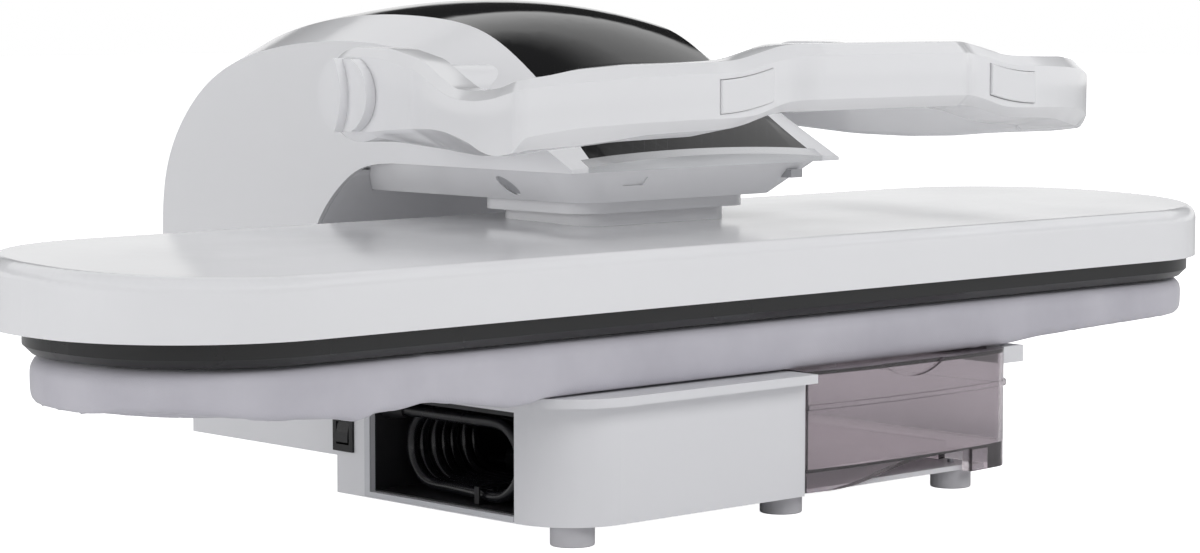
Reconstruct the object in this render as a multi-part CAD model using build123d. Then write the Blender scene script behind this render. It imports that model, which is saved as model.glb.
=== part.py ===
from build123d import *
import os
from math import atan2, cos, degrees, hypot, pi, radians, sin, tan

# A bench-top steam press. X runs along the board to the user's right, Y runs back, Z runs up.
# Every Y below is measured back from the front edge of the press cover, and every Z up from
# the table. placed() moves the finished pieces so that the origin is under the middle.

# Fits and walls
run_gap = 0.05
slide_gap = 0.5
part_gap = 0.3
seat_gap = 0.2
wall = 3.0
thin_wall = 2.0

# Press cover, the long white lid of the heated plate
cover_length = 900.0
cover_depth = 228.0
cover_front_radius = 100.0
cover_end_straight = 16.0
cover_bottom = 130.0
cover_front_height = 32.0
cover_middle_height = 36.5
cover_rear_height = 38.5
cover_edge_radius = 8.0

# Black rim and heated plate under the cover. They, the pad and the board share an outline that
# starts ahead of the cover's and is less deep.
lower_forward = 8.0
lower_step = 10.0
rim_inset = 12.0
rim_height = 13.0
rim_width = 14.0
rim_chamfer = 4.5
plate_thickness = 6.0
steam_hole_radius = 2.0
steam_hole_rows = 3
steam_hole_columns = 13
steam_hole_pitch = 55.0
steam_hole_row_pitch = 36.0
element_radius = 4.0
element_half_length = 370.0
element_half_width = 52.0
element_ends = 20.0
element_rise = 16.0
element_bend = 50.0
element_end_bend = 10.0
insulation_thickness = 9.0
chamber_length = 300.0
chamber_width = 76.0
chamber_height = 14.0

# Padded board under the plate
pad_inset = 15.0
pad_height = 27.0
pad_roll = 11.0
cover_cloth = 1.2
foam_height = 19.0
foam_gap = 1.3
board_inset = 24.0
board_thickness = 1.6
deck_inset = 40.0
deck_thickness = 3.0
hem_width = 30.0
flange_left = -188.0
flange_front = -10.0
flange_height = 5.2
flange_radius = 44.0
neck_front = 24.0
neck_right = 60.0
throat_drop = 1.0
pierced_hole_radius = 4.0
pierced_pitch = 40.0
pierced_row_pitch = 36.0
pierced_columns = 19
pierced_rows = 5

# Base housing
base_left = -180.0
base_right = 8.0
base_corner_radius = 40.0
base_bottom = 12.0
base_box_depth = 199.0
rear_right = 180.0
rear_bottom = 34.0
rear_end = 341.0
rear_top = 88.0
tray_bottom = 79.0
plate_floor = 3.0
shelf_right = 172.0
shelf_front = 6.5

# Feet
foot_radius = 12.5
foot_wall = 5.0
front_feet = ((-156.0, 22.0), (11.0, 22.0), (159.5, 18.5))
rear_foot_x = 80.0
rear_foot_y = 300.0
foot_screw_radius = 2.0

# Cord bay in the left side of the base
bay_front = 43.4
bay_rear = 167.6
bay_sill = 16.0
bay_top = 73.7
bay_depth = 132.0
bay_rib_count = 5
bay_trim_width = 5.0
bay_trim_lip = 1.2

# Mains cord, wound in oval loops that stand in the bay
cord_radius = 3.4
cord_loops = 7
cord_pitch = 7.8
loop_radius = 21.0
loop_run = 60.0
loop_lowest = 21.8
loop_first_x = -166.0
loop_front_y = 75.0
tail_shift = 31.4
tail_radius = 21.0
tail_rise = 5.0
tail_rise_run = 24.0
tail_end_run = 3.0
gland_radius = 6.5
gland_tip_radius = 4.4
gland_length = 16.0
gland_nut = 5.0
plug_width = 30.0
plug_height = 17.0
plug_length = 32.0
plug_boot_length = 12.0
plug_boot_radius = 5.0
pin_radius = 2.4
pin_length = 19.0
pin_spacing = 19.0
tie_width = 4.0
tie_thickness = 1.0

# Rocker switch beside the bay
switch_from_bay = 15.4
switch_width = 18.0
switch_bottom = 37.0
switch_height = 21.5
switch_proud = 1.6
switch_depth = 14.0
rocker_half_height = 7.4
rocker_tilt = 8.0

# Water tank at the right of the base
tank_left = 8.6
tank_right = 199.0
tank_front = -1.0
tank_bow = 5.0
tank_rear_gap = 13.0
tank_top = 84.8
tank_split = 62.0
tank_wall = 2.5
tank_floor = 27.0
tank_side_radius = 20.0
tank_rest = 13.6
arch_left = 26.0
arch_right = 154.0
arch_top = 26.4
tank_left_rib = 26.0
tank_right_rib = 34.0
tank_ledge = 1.6
grip_middle = 98.0
grip_radius = 48.0
grip_rise = 9.0
valve_x = 60.0
valve_z = 48.0
valve_radius = 6.0
valve_length = 16.0
socket_radius = 11.0
seal_radius = 8.5
rail_width = 19.0
rail_bottom = 73.8
rail_front = 10.0

# Pump, hose and circuit board in the rear of the base
pump_radius = 18.0
pump_length = 62.0
pump_from_box = 63.0
pump_foot_x = 20.0
hose_radius = 4.0
hose_bore = 2.5
riser_x = -10.0
riser_from_rear = 23.0
circuit_length = 90.0
circuit_width = 80.0
circuit_thickness = 1.6
circuit_left = -160.0
circuit_from_rear = 22.0
circuit_parts = ((12, 12, 24, 20, 22), (48, 14, 18, 18, 16), (62, 40, 16, 28, 20))

# Rear hinge
hinge_y = 345.0
hinge_z = 130.0
hinge_boss_radius = 14.0
hinge_pin_radius = 6.0
hinge_bush_radius = 8.0
bracket_x = 58.0
bracket_plate = 4.0
bracket_gap = 1.0
lug_plate = 4.0
lug_gap = 1.0
spring_radius = 9.5

# Hood and arm
hood_half_width = 112.0
strip_half_width = 78.0
panel_half_width = 91.4
panel_top_y = 138.0
panel_front_y = 77.5
hood_bottom = 142.0
hood_rear = 466.0
rim_level = 201.5
tip_y = 70.0
arch_front_y = 228.0
arch_foot_y = 310.0
pan_half_width = 82.0
pan_bottom = 182.0
pan_front = 92.0
pan_top_half_width = 108.5
pan_top_front = 73.0
pan_rear = 306.0
pan_wall = 2.5
pan_port_radius = 6.0
pan_port_y = 144.0
pan_port_z = 191.0
pan_low_radius = 17.0
pan_high_radius = 25.0
port_recess = 0.9
window_left = -60.0
window_right = -44.0
window_low = 192.0
window_high = 197.0
window_depth = 1.0
catch_left = 73.0
catch_right = 83.0
collar_half_width = 72.0
collar_front = 104.0
collar_rear = 200.0
collar_bottom = 174.5
collar_radius = 19.0
pedestal_half_width = 60.0
pedestal_front = 110.0
pedestal_rear = 195.0
pedestal_top = 190.0
pedestal_radius = 16.0
post_inset = 20.0
yoke_half_depth = 18.0
soffit_thickness = 4.0
soffit_top = 196.0

# Handle
handle_y = 165.0
handle_z = 246.0
hub_radius = 27.0
hub_inner = 165.0
hub_outer = 195.0
arm_thickness = 30.0
flare_y = 112.0
corner_x = 237.0
corner_y = -23.0
corner_radius = 9.0
elbow_x = 132.0
bar_front = -67.0
bar_bow = 6.5
grip_front = -75.0
grip_half_width = 58.0
grip_blend = 18.0
grip_inner_step = 6.0
boss_radius = 16.0
shaft_radius = 8.0
bush_radius = 11.0
cam_radius = 15.0
cam_offset = 10.0
cam_start = 20.0
cam_half_width = 12.0
cam_gap = 0.6
knob_radius = 22.0
knob_flat = 20.5
knob_height = 7.0
knob_ridge = 6.0
knob_lens_radius = 42.0
knob_lens_half = 6.0
knob_stub_radius = 3.0
knob_stub_length = 14.0
core_radius = 4.5
core_bends = (30.0, 24.0, 24.0, 40.0)
button_inner = 91.0
button_outer = 131.0
button_height = 18.0
button_inner_low = 245.3
button_outer_low = 239.6
button_sag = 1.2
button_depth = 5.0
button_proud = 1.8
button_travel = 2.0

# Keys on the control panel
key_radius = 6.0
key_pitch = 30.0
key_y = 112.0
key_proud = 1.2
key_depth = 6.0
key_bow = 2.0
cut_height = 60.0

# Side outlines of the hood, front to rear: at its flat sides, at the black strip's edges
# and along the middle
side_line = (
    (tip_y, 203.5), (panel_top_y, 239.0), (182.0, 260.5), (231.0, 272.0), (298.0, 274.0),
    (359.0, 267.0), (418.0, 244.0), (455.0, 203.0), (hood_rear, hood_bottom),
)
strip_line = (
    (tip_y + 2, 206.0), (panel_top_y, 255.0), (182.0, 280.0), (231.0, 289.0), (298.0, 290.0),
    (365.0, 281.0), (426.0, 255.0), (458.0, 212.0), (hood_rear, hood_bottom),
)
crest_line = (
    (tip_y + 3, 208.5), (panel_top_y, 262.0), (182.0, 288.0), (240.0, 299.0), (305.0, 298.0),
    (373.0, 287.0), (432.0, 259.0), (460.0, 214.0), (hood_rear, hood_bottom),
)
arch_line = ((arch_foot_y, hood_bottom), (301.0, 163.0), (275.0, 189.0), (arch_front_y, rim_level))
hood_middle = (270.0, 205.0)

# Side outlines of the handle's arms, from the hub forward, and the bar's outline from the front
arm_top_line = (
    (handle_y, handle_z + hub_radius), (137.0, 272.6), (107.0, 266.0), (82.0, 257.2), (62.0, 251.6),
    (40.0, 251.0), (20.0, 252.1), (0.0, 254.0), (corner_y, 258.5),
)
arm_outer_low_line = (
    (corner_y, 221.4), (0.0, 218.0), (20.0, 218.8), (40.0, 224.0), (62.0, 227.6), (86.0, 229.1),
    (115.0, 227.5), (handle_y, handle_z - hub_radius),
)
arm_inner_low_line = (
    (corner_y, 222.0), (0.0, 219.4), (20.0, 217.4), (40.0, 215.4), (62.0, 214.2), (86.0, 214.4),
    (115.0, 215.6), (handle_y, handle_z - hub_radius),
)
grip_top = 276.2
bar_top_line = (
    (70.0, grip_top), (88.0, 273.3), (106.0, 269.2), (elbow_x - 8, 267.2), (190.0, 265.4), (214.0, 262.6),
    (corner_x + 3, 257.6),
)
bar_low_line = (
    (64.0, 239.4), (84.0, 238.6), (96.0, 236.0), (107.0, 233.2), (elbow_x - 10, 230.8), (172.0, 228.8),
    (corner_x + 3, 221.2),
)

# The whole press is moved forward by this much, so that the origin is under its middle
middle_y = (hood_rear + grip_front) / 2


def block(x, y, z):
    """A box between two X, two Y and two Z positions."""
    box = Box(x[1] - x[0], y[1] - y[0], z[1] - z[0])
    return Pos((x[0] + x[1]) / 2, (y[0] + y[1]) / 2, (z[0] + z[1]) / 2) * box


def rounded_block(x, y, z, radius):
    """A box whose upright edges are rounded."""
    return fillet(block(x, y, z).edges().filter_by(Axis.Z), radius)


def rod_x(radius, x0, x1, y, z):
    """A round rod along X."""
    return Pos((x0 + x1) / 2, y, z) * Rot(0, 90, 0) * Cylinder(radius, x1 - x0)


def rod_y(radius, x, y0, y1, z):
    """A round rod along Y."""
    return Pos(x, (y0 + y1) / 2, z) * Rot(90, 0, 0) * Cylinder(radius, y1 - y0)


def rod_z(radius, x, y, z0, z1):
    """A round rod along Z."""
    return Pos(x, y, (z0 + z1) / 2) * Cylinder(radius, z1 - z0)


def plan_prism(sketch, z0, z1):
    """A shape drawn from above, stretched from z0 up to z1."""
    return extrude(Pos(0, 0, z0) * sketch, z1 - z0, dir=(0, 0, 1))


def side_prism(sketch, x0, x1):
    """A shape drawn from the side, Y across and Z up, stretched from x0 to x1."""
    return extrude(Plane.YZ.offset(x0) * sketch, x1 - x0, dir=(1, 0, 0))


def front_prism(sketch, y0, y1):
    """A shape drawn from the front, X across and Z up, stretched from y0 back to y1."""
    return extrude(Pos(0, y0, 0) * Rot(90, 0, 0) * sketch, y1 - y0, dir=(0, 1, 0))


def long_outline(middle, depth, inset):
    """A long outline with rounded ends, at the given inset."""
    sheet = Pos(0, middle) * Rectangle(cover_length - 2 * inset, depth - 2 * inset)
    sheet = fillet(sheet.vertices().group_by(Axis.Y)[0], cover_front_radius - inset)
    rear_radius = depth - cover_front_radius - cover_end_straight
    return fillet(sheet.vertices().group_by(Axis.Y)[-1], rear_radius - inset)


def cover_outline(inset):
    """The cover's outline."""
    return long_outline(cover_depth / 2, cover_depth, inset)


def lower_middle():
    """Middle in Y of the plate, the pad and the board."""
    return (cover_depth - lower_step) / 2 - lower_forward


def board_outline(inset):
    """The outline that the rim, plate, pad and board share."""
    return long_outline(lower_middle(), cover_depth - lower_step, inset)


def cover_form(inset, rounding):
    """The cover's outside, or its inside at the given inset: a low dome on its outline."""
    front = cover_bottom + cover_front_height - inset
    middle = cover_bottom + cover_middle_height - inset
    rear = cover_bottom + cover_rear_height - inset
    top = ThreePointArc((0, front), (cover_depth / 2, middle), (cover_depth, rear))
    low = Polyline((0, front), (0, cover_bottom), (cover_depth, cover_bottom), (cover_depth, rear))
    dome = side_prism(make_face(top + low), -cover_length / 2, cover_length / 2)
    tall = cover_bottom + cover_rear_height + rounding
    form = plan_prism(cover_outline(inset), cover_bottom, tall) & dome
    return fillet(form.faces().sort_by(Axis.Z)[-1].edges(), rounding)


def press_cover():
    """The white lid, open below, with holes for the four posts."""
    shell = cover_form(0, cover_edge_radius) - cover_form(wall, cover_edge_radius - wall)
    for post in post_places():
        shell -= rod_z(post_radius() + seat_gap, post[0], post[1], cover_bottom, pedestal_top)
    return shell


def post_radius():
    """The posts that carry the plate are as thick as the hinge pin."""
    return hinge_pin_radius


def post_places():
    """The four posts stand inside the pedestal."""
    xs = (-pedestal_half_width + post_inset, pedestal_half_width - post_inset)
    ys = (pedestal_front + post_inset, pedestal_rear - post_inset)
    return [(x, y) for x in xs for y in ys]


def plate_level():
    """Underside of the black rim and of the heated plate."""
    return cover_bottom - rim_height


def press_rim():
    """The black ring round the heated plate."""
    ring = plan_prism(board_outline(rim_inset), plate_level(), cover_bottom)
    ring = chamfer(ring.faces().sort_by(Axis.Z)[0].edges(), rim_chamfer)
    return ring - plan_prism(board_outline(rim_inset + rim_width), plate_level(), cover_bottom)


def heater_plate():
    """The aluminium plate with its steam holes."""
    inset = rim_inset + rim_width + seat_gap
    plate = plan_prism(board_outline(inset), plate_level(), plate_level() + plate_thickness)
    holes = Cylinder(steam_hole_radius, 2 * plate_thickness)
    grid = GridLocations(steam_hole_pitch, steam_hole_row_pitch, steam_hole_columns, steam_hole_rows)
    middle = Pos(0, lower_middle(), plate_level() + plate_thickness / 2)
    return plate - [middle * spot * holes for spot in grid]


def heating_element():
    """The tubular heater: one long loop, open at the rear, with upturned ends."""
    z = plate_level() + plate_thickness + element_radius
    y = lower_middle()
    far = element_half_length
    near = element_half_width
    gap = element_ends
    top = z + element_rise
    path = FilletPolyline(
        (-gap, y + near, top), (-gap, y + near, z), (-far, y + near, z), (-far, y - near, z),
        (far, y - near, z), (far, y + near, z), (gap, y + near, z), (gap, y + near, top),
        radius=[element_end_bend] + 4 * [element_bend] + [element_end_bend],
    )
    start = Plane(path @ 0, z_dir=path % 0)
    return sweep(start * Circle(element_radius), path)


def steam_chamber():
    """The boiling chamber on the plate, a closed pan with a water inlet on top."""
    z = plate_level() + plate_thickness
    y = lower_middle()
    half = chamber_length / 2
    ys = (y - chamber_width / 2, y + chamber_width / 2)
    pan = block((-half, half), ys, (z, z + chamber_height))
    hollow = block(
        (-half + thin_wall, half - thin_wall),
        (ys[0] + thin_wall, ys[1] - thin_wall),
        (z, z + chamber_height - thin_wall),
    )
    return pan - hollow - [rod_z(hose_bore, 0, y, z, z + 2 * chamber_height)]


def thermostat():
    """The round thermostat that sits on the plate."""
    z = plate_level() + plate_thickness
    x = chamber_length / 2 + 30
    body = rod_z(8, x, lower_middle(), z, z + 9)
    body += block((x - 14, x + 14), (lower_middle() - 5, lower_middle() + 5), (z, z + 1.5))
    return body


def insulation_mat():
    """The fibre mat between the hot parts and the cover."""
    z = cover_bottom + 12
    mat = plan_prism(board_outline(rim_inset + rim_width), z, z + insulation_thickness)
    for post in post_places():
        mat -= rod_z(post_radius() + 1, post[0], post[1], z, z + insulation_thickness)
    y = lower_middle()
    for x in (-element_ends, element_ends):
        mat -= rod_z(element_radius + 2, x, y + element_half_width, z, z + insulation_thickness)
    return mat


def pedestal():
    """The white block on the cover that runs up inside the arm's collar."""
    xs = (-pedestal_half_width, pedestal_half_width)
    levels = (cover_bottom + cover_front_height, pedestal_top)
    form = rounded_block(xs, (pedestal_front, pedestal_rear), levels, pedestal_radius)
    inner = rounded_block(
        (xs[0] + wall, xs[1] - wall),
        (pedestal_front + wall, pedestal_rear - wall),
        (cover_bottom, pedestal_top - wall),
        pedestal_radius - wall,
    )
    yoke_hole = block(
        (-yoke_half_width() - 1, yoke_half_width() + 1),
        (handle_y - yoke_half_depth - 1, handle_y + yoke_half_depth + 1),
        (pedestal_top - 2 * wall, pedestal_top + 1),
    )
    return form - inner - cover_form(0, cover_edge_radius) - yoke_hole


def yoke_half_width():
    """Half the width of the post that the cam pushes on."""
    return cam_half_width + 2


def cam_lowest():
    """How far the cam reaches below the handle shaft at rest."""
    return cam_radius + cam_offset * cos(radians(cam_start))


def press_yoke():
    """Steel carrier: four posts on the plate, a bridge in the pedestal and the cam's post."""
    bridge_top = pedestal_top - wall - seat_gap
    bridge_bottom = bridge_top - 5
    edge = wall + seat_gap + 2
    bridge = rounded_block(
        (-pedestal_half_width + edge, pedestal_half_width - edge),
        (pedestal_front + edge, pedestal_rear - edge),
        (bridge_bottom, bridge_top),
        pedestal_radius - edge,
    )
    top = handle_z - cam_lowest() - cam_gap
    carrier = bridge + block(
        (-yoke_half_width(), yoke_half_width()),
        (handle_y - yoke_half_depth, handle_y + yoke_half_depth),
        (bridge_bottom, top),
    )
    foot = plate_level() + plate_thickness
    for post in post_places():
        low = foot + chamber_height if abs(post[1] - lower_middle()) < chamber_width / 2 else foot
        carrier += rod_z(post_radius(), post[0], post[1], low, bridge_bottom + 1)
    return carrier


def pad_top():
    """The pad stays just under the heated plate."""
    return plate_level() - part_gap


def pad_form(inset, low, high, roll):
    """A padded board shape with rolled edges."""
    form = plan_prism(board_outline(inset), low, high)
    return fillet(form.faces().sort_by(Axis.Z)[-1].edges(), roll)


def pad_cover():
    """The cloth cover: crowned edges, sides drawn in under the board and a hem."""
    low = pad_low()
    outer = plan_prism(board_outline(pad_inset), low, pad_top())
    outer = fillet(outer.faces().sort_by(Axis.Z)[-1].edges(), pad_roll)
    outer = fillet(outer.faces().sort_by(Axis.Z)[0].edges(), pad_roll)
    inner = plan_prism(board_outline(pad_inset + cover_cloth), low + cover_cloth, pad_top() - cover_cloth)
    inner = fillet(inner.faces().sort_by(Axis.Z)[-1].edges(), pad_roll - cover_cloth)
    inner = fillet(inner.faces().sort_by(Axis.Z)[0].edges(), pad_roll - cover_cloth)
    mouth = plan_prism(board_outline(pad_inset + hem_width), low - 1, low + 2 * cover_cloth)
    return outer - inner - mouth


def board_level():
    """Top of the steel board, under the foam."""
    return pad_top() - cover_cloth - foam_height


def foam_pad():
    """The foam under the cloth."""
    high = pad_top() - cover_cloth
    return pad_form(pad_inset + cover_cloth + foam_gap, board_level(), high, pad_roll - cover_cloth)


def board_plate():
    """The pierced steel sheet that carries the foam."""
    sheet = plan_prism(board_outline(board_inset), board_level() - board_thickness, board_level())
    hole = Cylinder(pierced_hole_radius, 4 * board_thickness)
    grid = GridLocations(pierced_pitch, pierced_row_pitch, pierced_columns, pierced_rows)
    middle = Pos(0, lower_middle(), board_level())
    return sheet - [middle * spot * hole for spot in grid]


def pad_low():
    """Underside of the pad."""
    return pad_top() - pad_height


def board_tray():
    """The white tray between the base and the board: a flange, a neck and a wide deck."""
    deck_top = board_level() - board_thickness
    deck = plan_prism(board_outline(deck_inset), deck_top - deck_thickness, deck_top)
    rear = base_box_depth - wall - seat_gap
    low = pad_low() - part_gap
    flange_top = tray_bottom + flange_height
    flange = block((flange_left, base_right), (flange_front, rear), (tray_bottom, flange_top))
    corner = flange.edges().filter_by(Axis.Z).sort_by(lambda e: (e @ 0).X + (e @ 0).Y)[0]
    flange = fillet(corner, flange_radius)
    neck = block((base_left, neck_right), (neck_front, rear), (flange_top, low))
    rail_x = (tank_right + slide_gap, tank_right + slide_gap + rail_width)
    rail = block(rail_x, (rail_front, rear), (rail_bottom, flange_top))
    rail += block(rail_x, (neck_front, rear), (flange_top - 1, low))
    tank_room = block(
        (base_right, tank_right + slide_gap),
        (flange_front, base_box_depth),
        (tray_bottom - 1, tank_top + slide_gap),
    )
    throat = plan_prism(board_outline(pad_inset + hem_width + slide_gap), low - 1, deck_top - throat_drop)
    posts = block((base_left, neck_right), (neck_front, rear), (low, deck_top - throat_drop))
    posts += block(rail_x, (neck_front, rear), (low - 1, deck_top - throat_drop))
    return deck + (flange + neck - tank_room) + rail + (posts & throat)


def box_plan(inset):
    """Plan of the front box of the base, with its large front corner."""
    plan = Rectangle(base_right - base_left - 2 * inset, base_box_depth - 2 * inset)
    plan = Pos((base_right + base_left) / 2, base_box_depth / 2) * plan
    corner = plan.vertices().sort_by(lambda v: v.X + v.Y)[0]
    return fillet(corner, base_corner_radius - inset)


def base_housing():
    """The white housing: a front box, a wider rear body, open below."""
    box = plan_prism(box_plan(0), base_bottom, tray_bottom)
    rear = block((base_left, rear_right), (base_box_depth - wall, rear_end), (rear_bottom, rear_top))
    box_hollow = plan_prism(box_plan(wall), base_bottom, tray_bottom - wall)
    rear_hollow = block(
        (base_left + wall, rear_right - wall),
        (base_box_depth, rear_end - wall),
        (rear_bottom, rear_top - wall),
    )
    passage = block(
        (base_left + wall + 20, base_right - wall),
        (base_box_depth - 2 * wall, base_box_depth + 1),
        (rear_bottom + 6, tray_bottom - wall - 4),
    )
    shell = box + rear - box_hollow - rear_hollow - passage
    bay = block((base_left - 1, base_left + 2 * wall), (bay_front, bay_rear), (bay_sill, bay_top))
    switch_hole = block(
        (base_left - 1, base_left + switch_depth + 12),
        (switch_front() + thin_wall, switch_front() + switch_width - thin_wall),
        (switch_bottom + thin_wall, switch_bottom + switch_height - thin_wall),
    )
    shell -= bay
    shell -= switch_hole
    shell -= under_box(seat_gap)
    through = (base_box_depth - 2 * wall, base_box_depth + wall)
    shell -= rod_y(socket_radius + seat_gap, valve_x, through[0], through[1], valve_z)
    for x in (-bracket_x, bracket_x):
        shell -= block(
            (x - bracket_plate / 2 - seat_gap, x + bracket_plate / 2 + seat_gap),
            (bracket_front() - seat_gap, rear_end - wall - seat_gap),
            (rear_top - 2 * wall, rear_top + 1),
        )
    shell -= rod_z(hose_radius + 1, riser_x, riser_y(), rear_top - 2 * wall, rear_top + 1)
    return shell


def under_box(grown):
    """Where the bottom plate runs back under the rear wall of the front box."""
    return block(
        (base_left + 30 - grown, base_right - wall - 1 + grown),
        (base_box_depth - 2 * wall, base_box_depth + 1),
        (base_bottom - grown, base_bottom + plate_floor + grown),
    )


def base_plate():
    """The bottom plate: floor of the box, shelf under the tank and floor of the rear body."""
    floor = plan_prism(box_plan(wall + seat_gap), base_bottom, base_bottom + plate_floor)
    shelf = block(
        (base_right + seat_gap, shelf_right),
        (shelf_front, base_box_depth + 30),
        (base_bottom, base_bottom + plate_floor),
    )
    strip = block(
        (base_left + 30, shelf_right),
        (base_box_depth + seat_gap, base_box_depth + 30),
        (base_bottom, base_bottom + plate_floor),
    )
    riser = block(
        (base_left + 30, shelf_right),
        (base_box_depth + 27, base_box_depth + 30),
        (base_bottom, rear_bottom + plate_floor),
    )
    rear = block(
        (base_left + wall + seat_gap, rear_right - wall - seat_gap),
        (base_box_depth + 27, rear_end - wall - seat_gap),
        (rear_bottom, rear_bottom + plate_floor),
    )
    plate = floor + shelf + strip + riser + rear + under_box(0)
    for x, y in front_feet:
        plate -= rod_z(foot_screw_radius, x, y, base_bottom - 1, base_bottom + plate_floor + 1)
    for x in (-rear_foot_x, rear_foot_x):
        plate -= rod_z(foot_screw_radius, x, rear_foot_y, rear_bottom - 1, rear_bottom + plate_floor + 1)
    return plate


def foot(x, y, top):
    """One round foot, hollow from below to take its screw."""
    body = rod_z(foot_radius, x, y, 0, top)
    body = fillet(body.edges().sort_by(Axis.Z)[0], 1)
    body -= rod_z(foot_radius - foot_wall, x, y, 0, top - 4)
    return body - rod_z(foot_screw_radius, x, y, 0, top + 1)


def feet():
    """Three feet at the front and two longer ones under the rear body."""
    pieces = [foot(x, y, base_bottom) for x, y in front_feet]
    pieces += [foot(x, rear_foot_y, rear_bottom) for x in (-rear_foot_x, rear_foot_x)]
    return pieces


def foot_screws():
    """The screw in each foot."""
    places = [(x, y, base_bottom) for x, y in front_feet]
    places += [(x, rear_foot_y, rear_bottom) for x in (-rear_foot_x, rear_foot_x)]
    screws = []
    for x, y, top in places:
        shank = rod_z(foot_screw_radius - run_gap, x, y, top - 4, top + plate_floor + 2)
        screws.append(shank + rod_z(2 * foot_screw_radius, x, y, top - 6, top - 4))
    return screws


def bay_inside():
    """The free space inside the liner, as X, Y and Z ranges."""
    return (
        (base_left + wall, base_left + bay_depth),
        (bay_front, bay_rear),
        (bay_sill + 0.8, bay_top),
    )


def cord_bay_liner():
    """The dark box behind the opening, with upright ribs on its back wall."""
    x, y, z = bay_inside()
    outer = block(
        (x[0] + seat_gap, x[1] + thin_wall),
        (y[0] - thin_wall, y[1] + thin_wall),
        (base_bottom + plate_floor + seat_gap, tray_bottom - wall - seat_gap),
    )
    liner = outer - block((x[0] - 1, x[1]), y, (z[0], z[1] - wall))
    span = y[1] - y[0]
    for n in range(bay_rib_count):
        rib = y[0] + span * (n + 0.5) / bay_rib_count
        liner += block((x[1] - 3, x[1] + thin_wall / 2), (rib - 2, rib + 2), (z[0] - 1, z[1] - wall))
    gland_y = (y[1] - 1, y[1] + thin_wall + 1)
    return liner - rod_y(gland_radius - 1.5, loop_first_x, gland_y[0], gland_y[1], top_run_level())


def bay_trim():
    """The light bead along the sill and the rear edge of the bay."""
    x = (base_left - bay_trim_lip, base_left)
    sill = block(x, (bay_front, bay_rear + bay_trim_width), (base_bottom + 1, bay_sill))
    post = block(x, (bay_rear, bay_rear + bay_trim_width), (base_bottom + 1, bay_top))
    return fillet((sill + post).faces().sort_by(Axis.X)[0].edges(), 0.5)


def top_run_level():
    """Height of the upper run of each cord loop."""
    return loop_lowest + 2 * loop_radius


def s_bend(start, shift, length, heading, rise=0.0):
    """Two arcs that carry a run along Y aside by a shift in X, or up. heading is 1 or -1."""
    x, y, z = start
    middle = (x + shift / 2, y + heading * length / 2, z + rise / 2)
    end = (x + shift, y + heading * length, z + rise)
    first = TangentArc(start, middle, tangent=(0, heading, 0))
    return [first, TangentArc(middle, end, tangent=first % 1)], end


def half_turn(start, radius, y_bulge, rise):
    """A half circle in the YZ plane, up or down, that bulges by its radius to one side."""
    x, y, z = start
    middle = (x, y + y_bulge * radius, z + rise * radius)
    end = (x, y, z + 2 * rise * radius)
    return [ThreePointArc(start, middle, end)], end


def hank_route():
    """The route of the wound cord, from the gland to the end of the last loop."""
    rear_y = loop_front_y + loop_run
    start = (loop_first_x, bay_rear - gland_length, top_run_level())
    route = []
    point = start
    for _ in range(cord_loops):
        corner = (point[0], loop_front_y, point[2])
        route.append(Line(point, corner))
        arc, point = half_turn(corner, loop_radius, -1, -1)
        route += arc
        bend, point = s_bend(point, cord_pitch, loop_run, 1)
        route += bend
        arc, point = half_turn((point[0], rear_y, point[2]), loop_radius, 1, 1)
        route += arc
    return route, point


def tail_route(start):
    """The route from the last loop to the plug on the floor of the bay."""
    bend, point = s_bend(start, tail_shift, loop_run, -1)
    arc, point = half_turn(point, tail_radius, -1, -1)
    lift, point = s_bend(point, 0.0, tail_rise_run, 1, tail_rise)
    end = (point[0], point[1] + tail_end_run, point[2])
    return bend + arc + lift + [Line(point, end)], end


def tube(route, radius):
    """A round tube along a route of tangent lines and arcs."""
    path = Wire([edge.edge() for edge in route])
    start = route[0]
    return sweep(Plane(start @ 0, z_dir=start % 0) * Circle(radius), path)


def least_gap(route, radius):
    """Least gap between two stretches of a tube that are not neighbours along it."""
    points = []
    walked = 0.0
    for edge in route:
        steps = max(2, round(edge.length / 3))
        for n in range(steps):
            points.append((walked + edge.length * n / steps, edge @ (n / steps)))
        walked += edge.length
    gaps = [
        (a - b).length
        for i, (s, a) in enumerate(points)
        for t, b in points[i + 1:]
        if t - s > 8 * radius
    ]
    return min(gaps) - 2 * radius


def plug_centre(end):
    """The plug's middle line and its rear face."""
    return end[0], end[1] + plug_boot_length, end[2]


def mains_plug(end):
    """The moulded plug with its boot and two pins."""
    x, y, z = plug_centre(end)
    body = block((x - plug_width / 2, x + plug_width / 2), (y, y + plug_length),
                 (z - plug_height / 2, z + plug_height / 2))
    body = fillet(body.edges().filter_by(Axis.Y), 5)
    body += rod_y(plug_boot_radius, x, end[1], y + 1, z)
    tip = y + plug_length
    for side in (-1, 1):
        body += rod_y(pin_radius, x + side * pin_spacing / 2, tip - 1, tip + pin_length, z)
    return body


def cord_gland():
    """The tapered strain relief where the cord leaves the rear wall of the bay."""
    z = top_run_level()
    face = bay_rear - gland_length
    taper = Cone(gland_radius, gland_tip_radius, gland_length)
    sleeve = Pos(loop_first_x, face + gland_length / 2, z) * Rot(90, 0, 0) * taper
    neck = rod_y(gland_radius - 1.5, loop_first_x, bay_rear - 1, bay_rear + thin_wall + gland_nut, z)
    return sleeve + neck


def cord_tie():
    """The tie round the lower runs of the loops."""
    left = loop_first_x - cord_radius - 0.6
    right = loop_first_x + cord_loops * cord_pitch + cord_radius + 0.6
    low = loop_lowest - cord_radius - 0.3
    high = loop_lowest + cord_radius + 0.6
    y = (loop_front_y + 8, loop_front_y + 8 + tie_width)
    outer_x = (left - tie_thickness, right + tie_thickness)
    outer_z = (low - tie_thickness, high + tie_thickness)
    return block(outer_x, y, outer_z) - block((left, right), y, (low, high))


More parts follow.
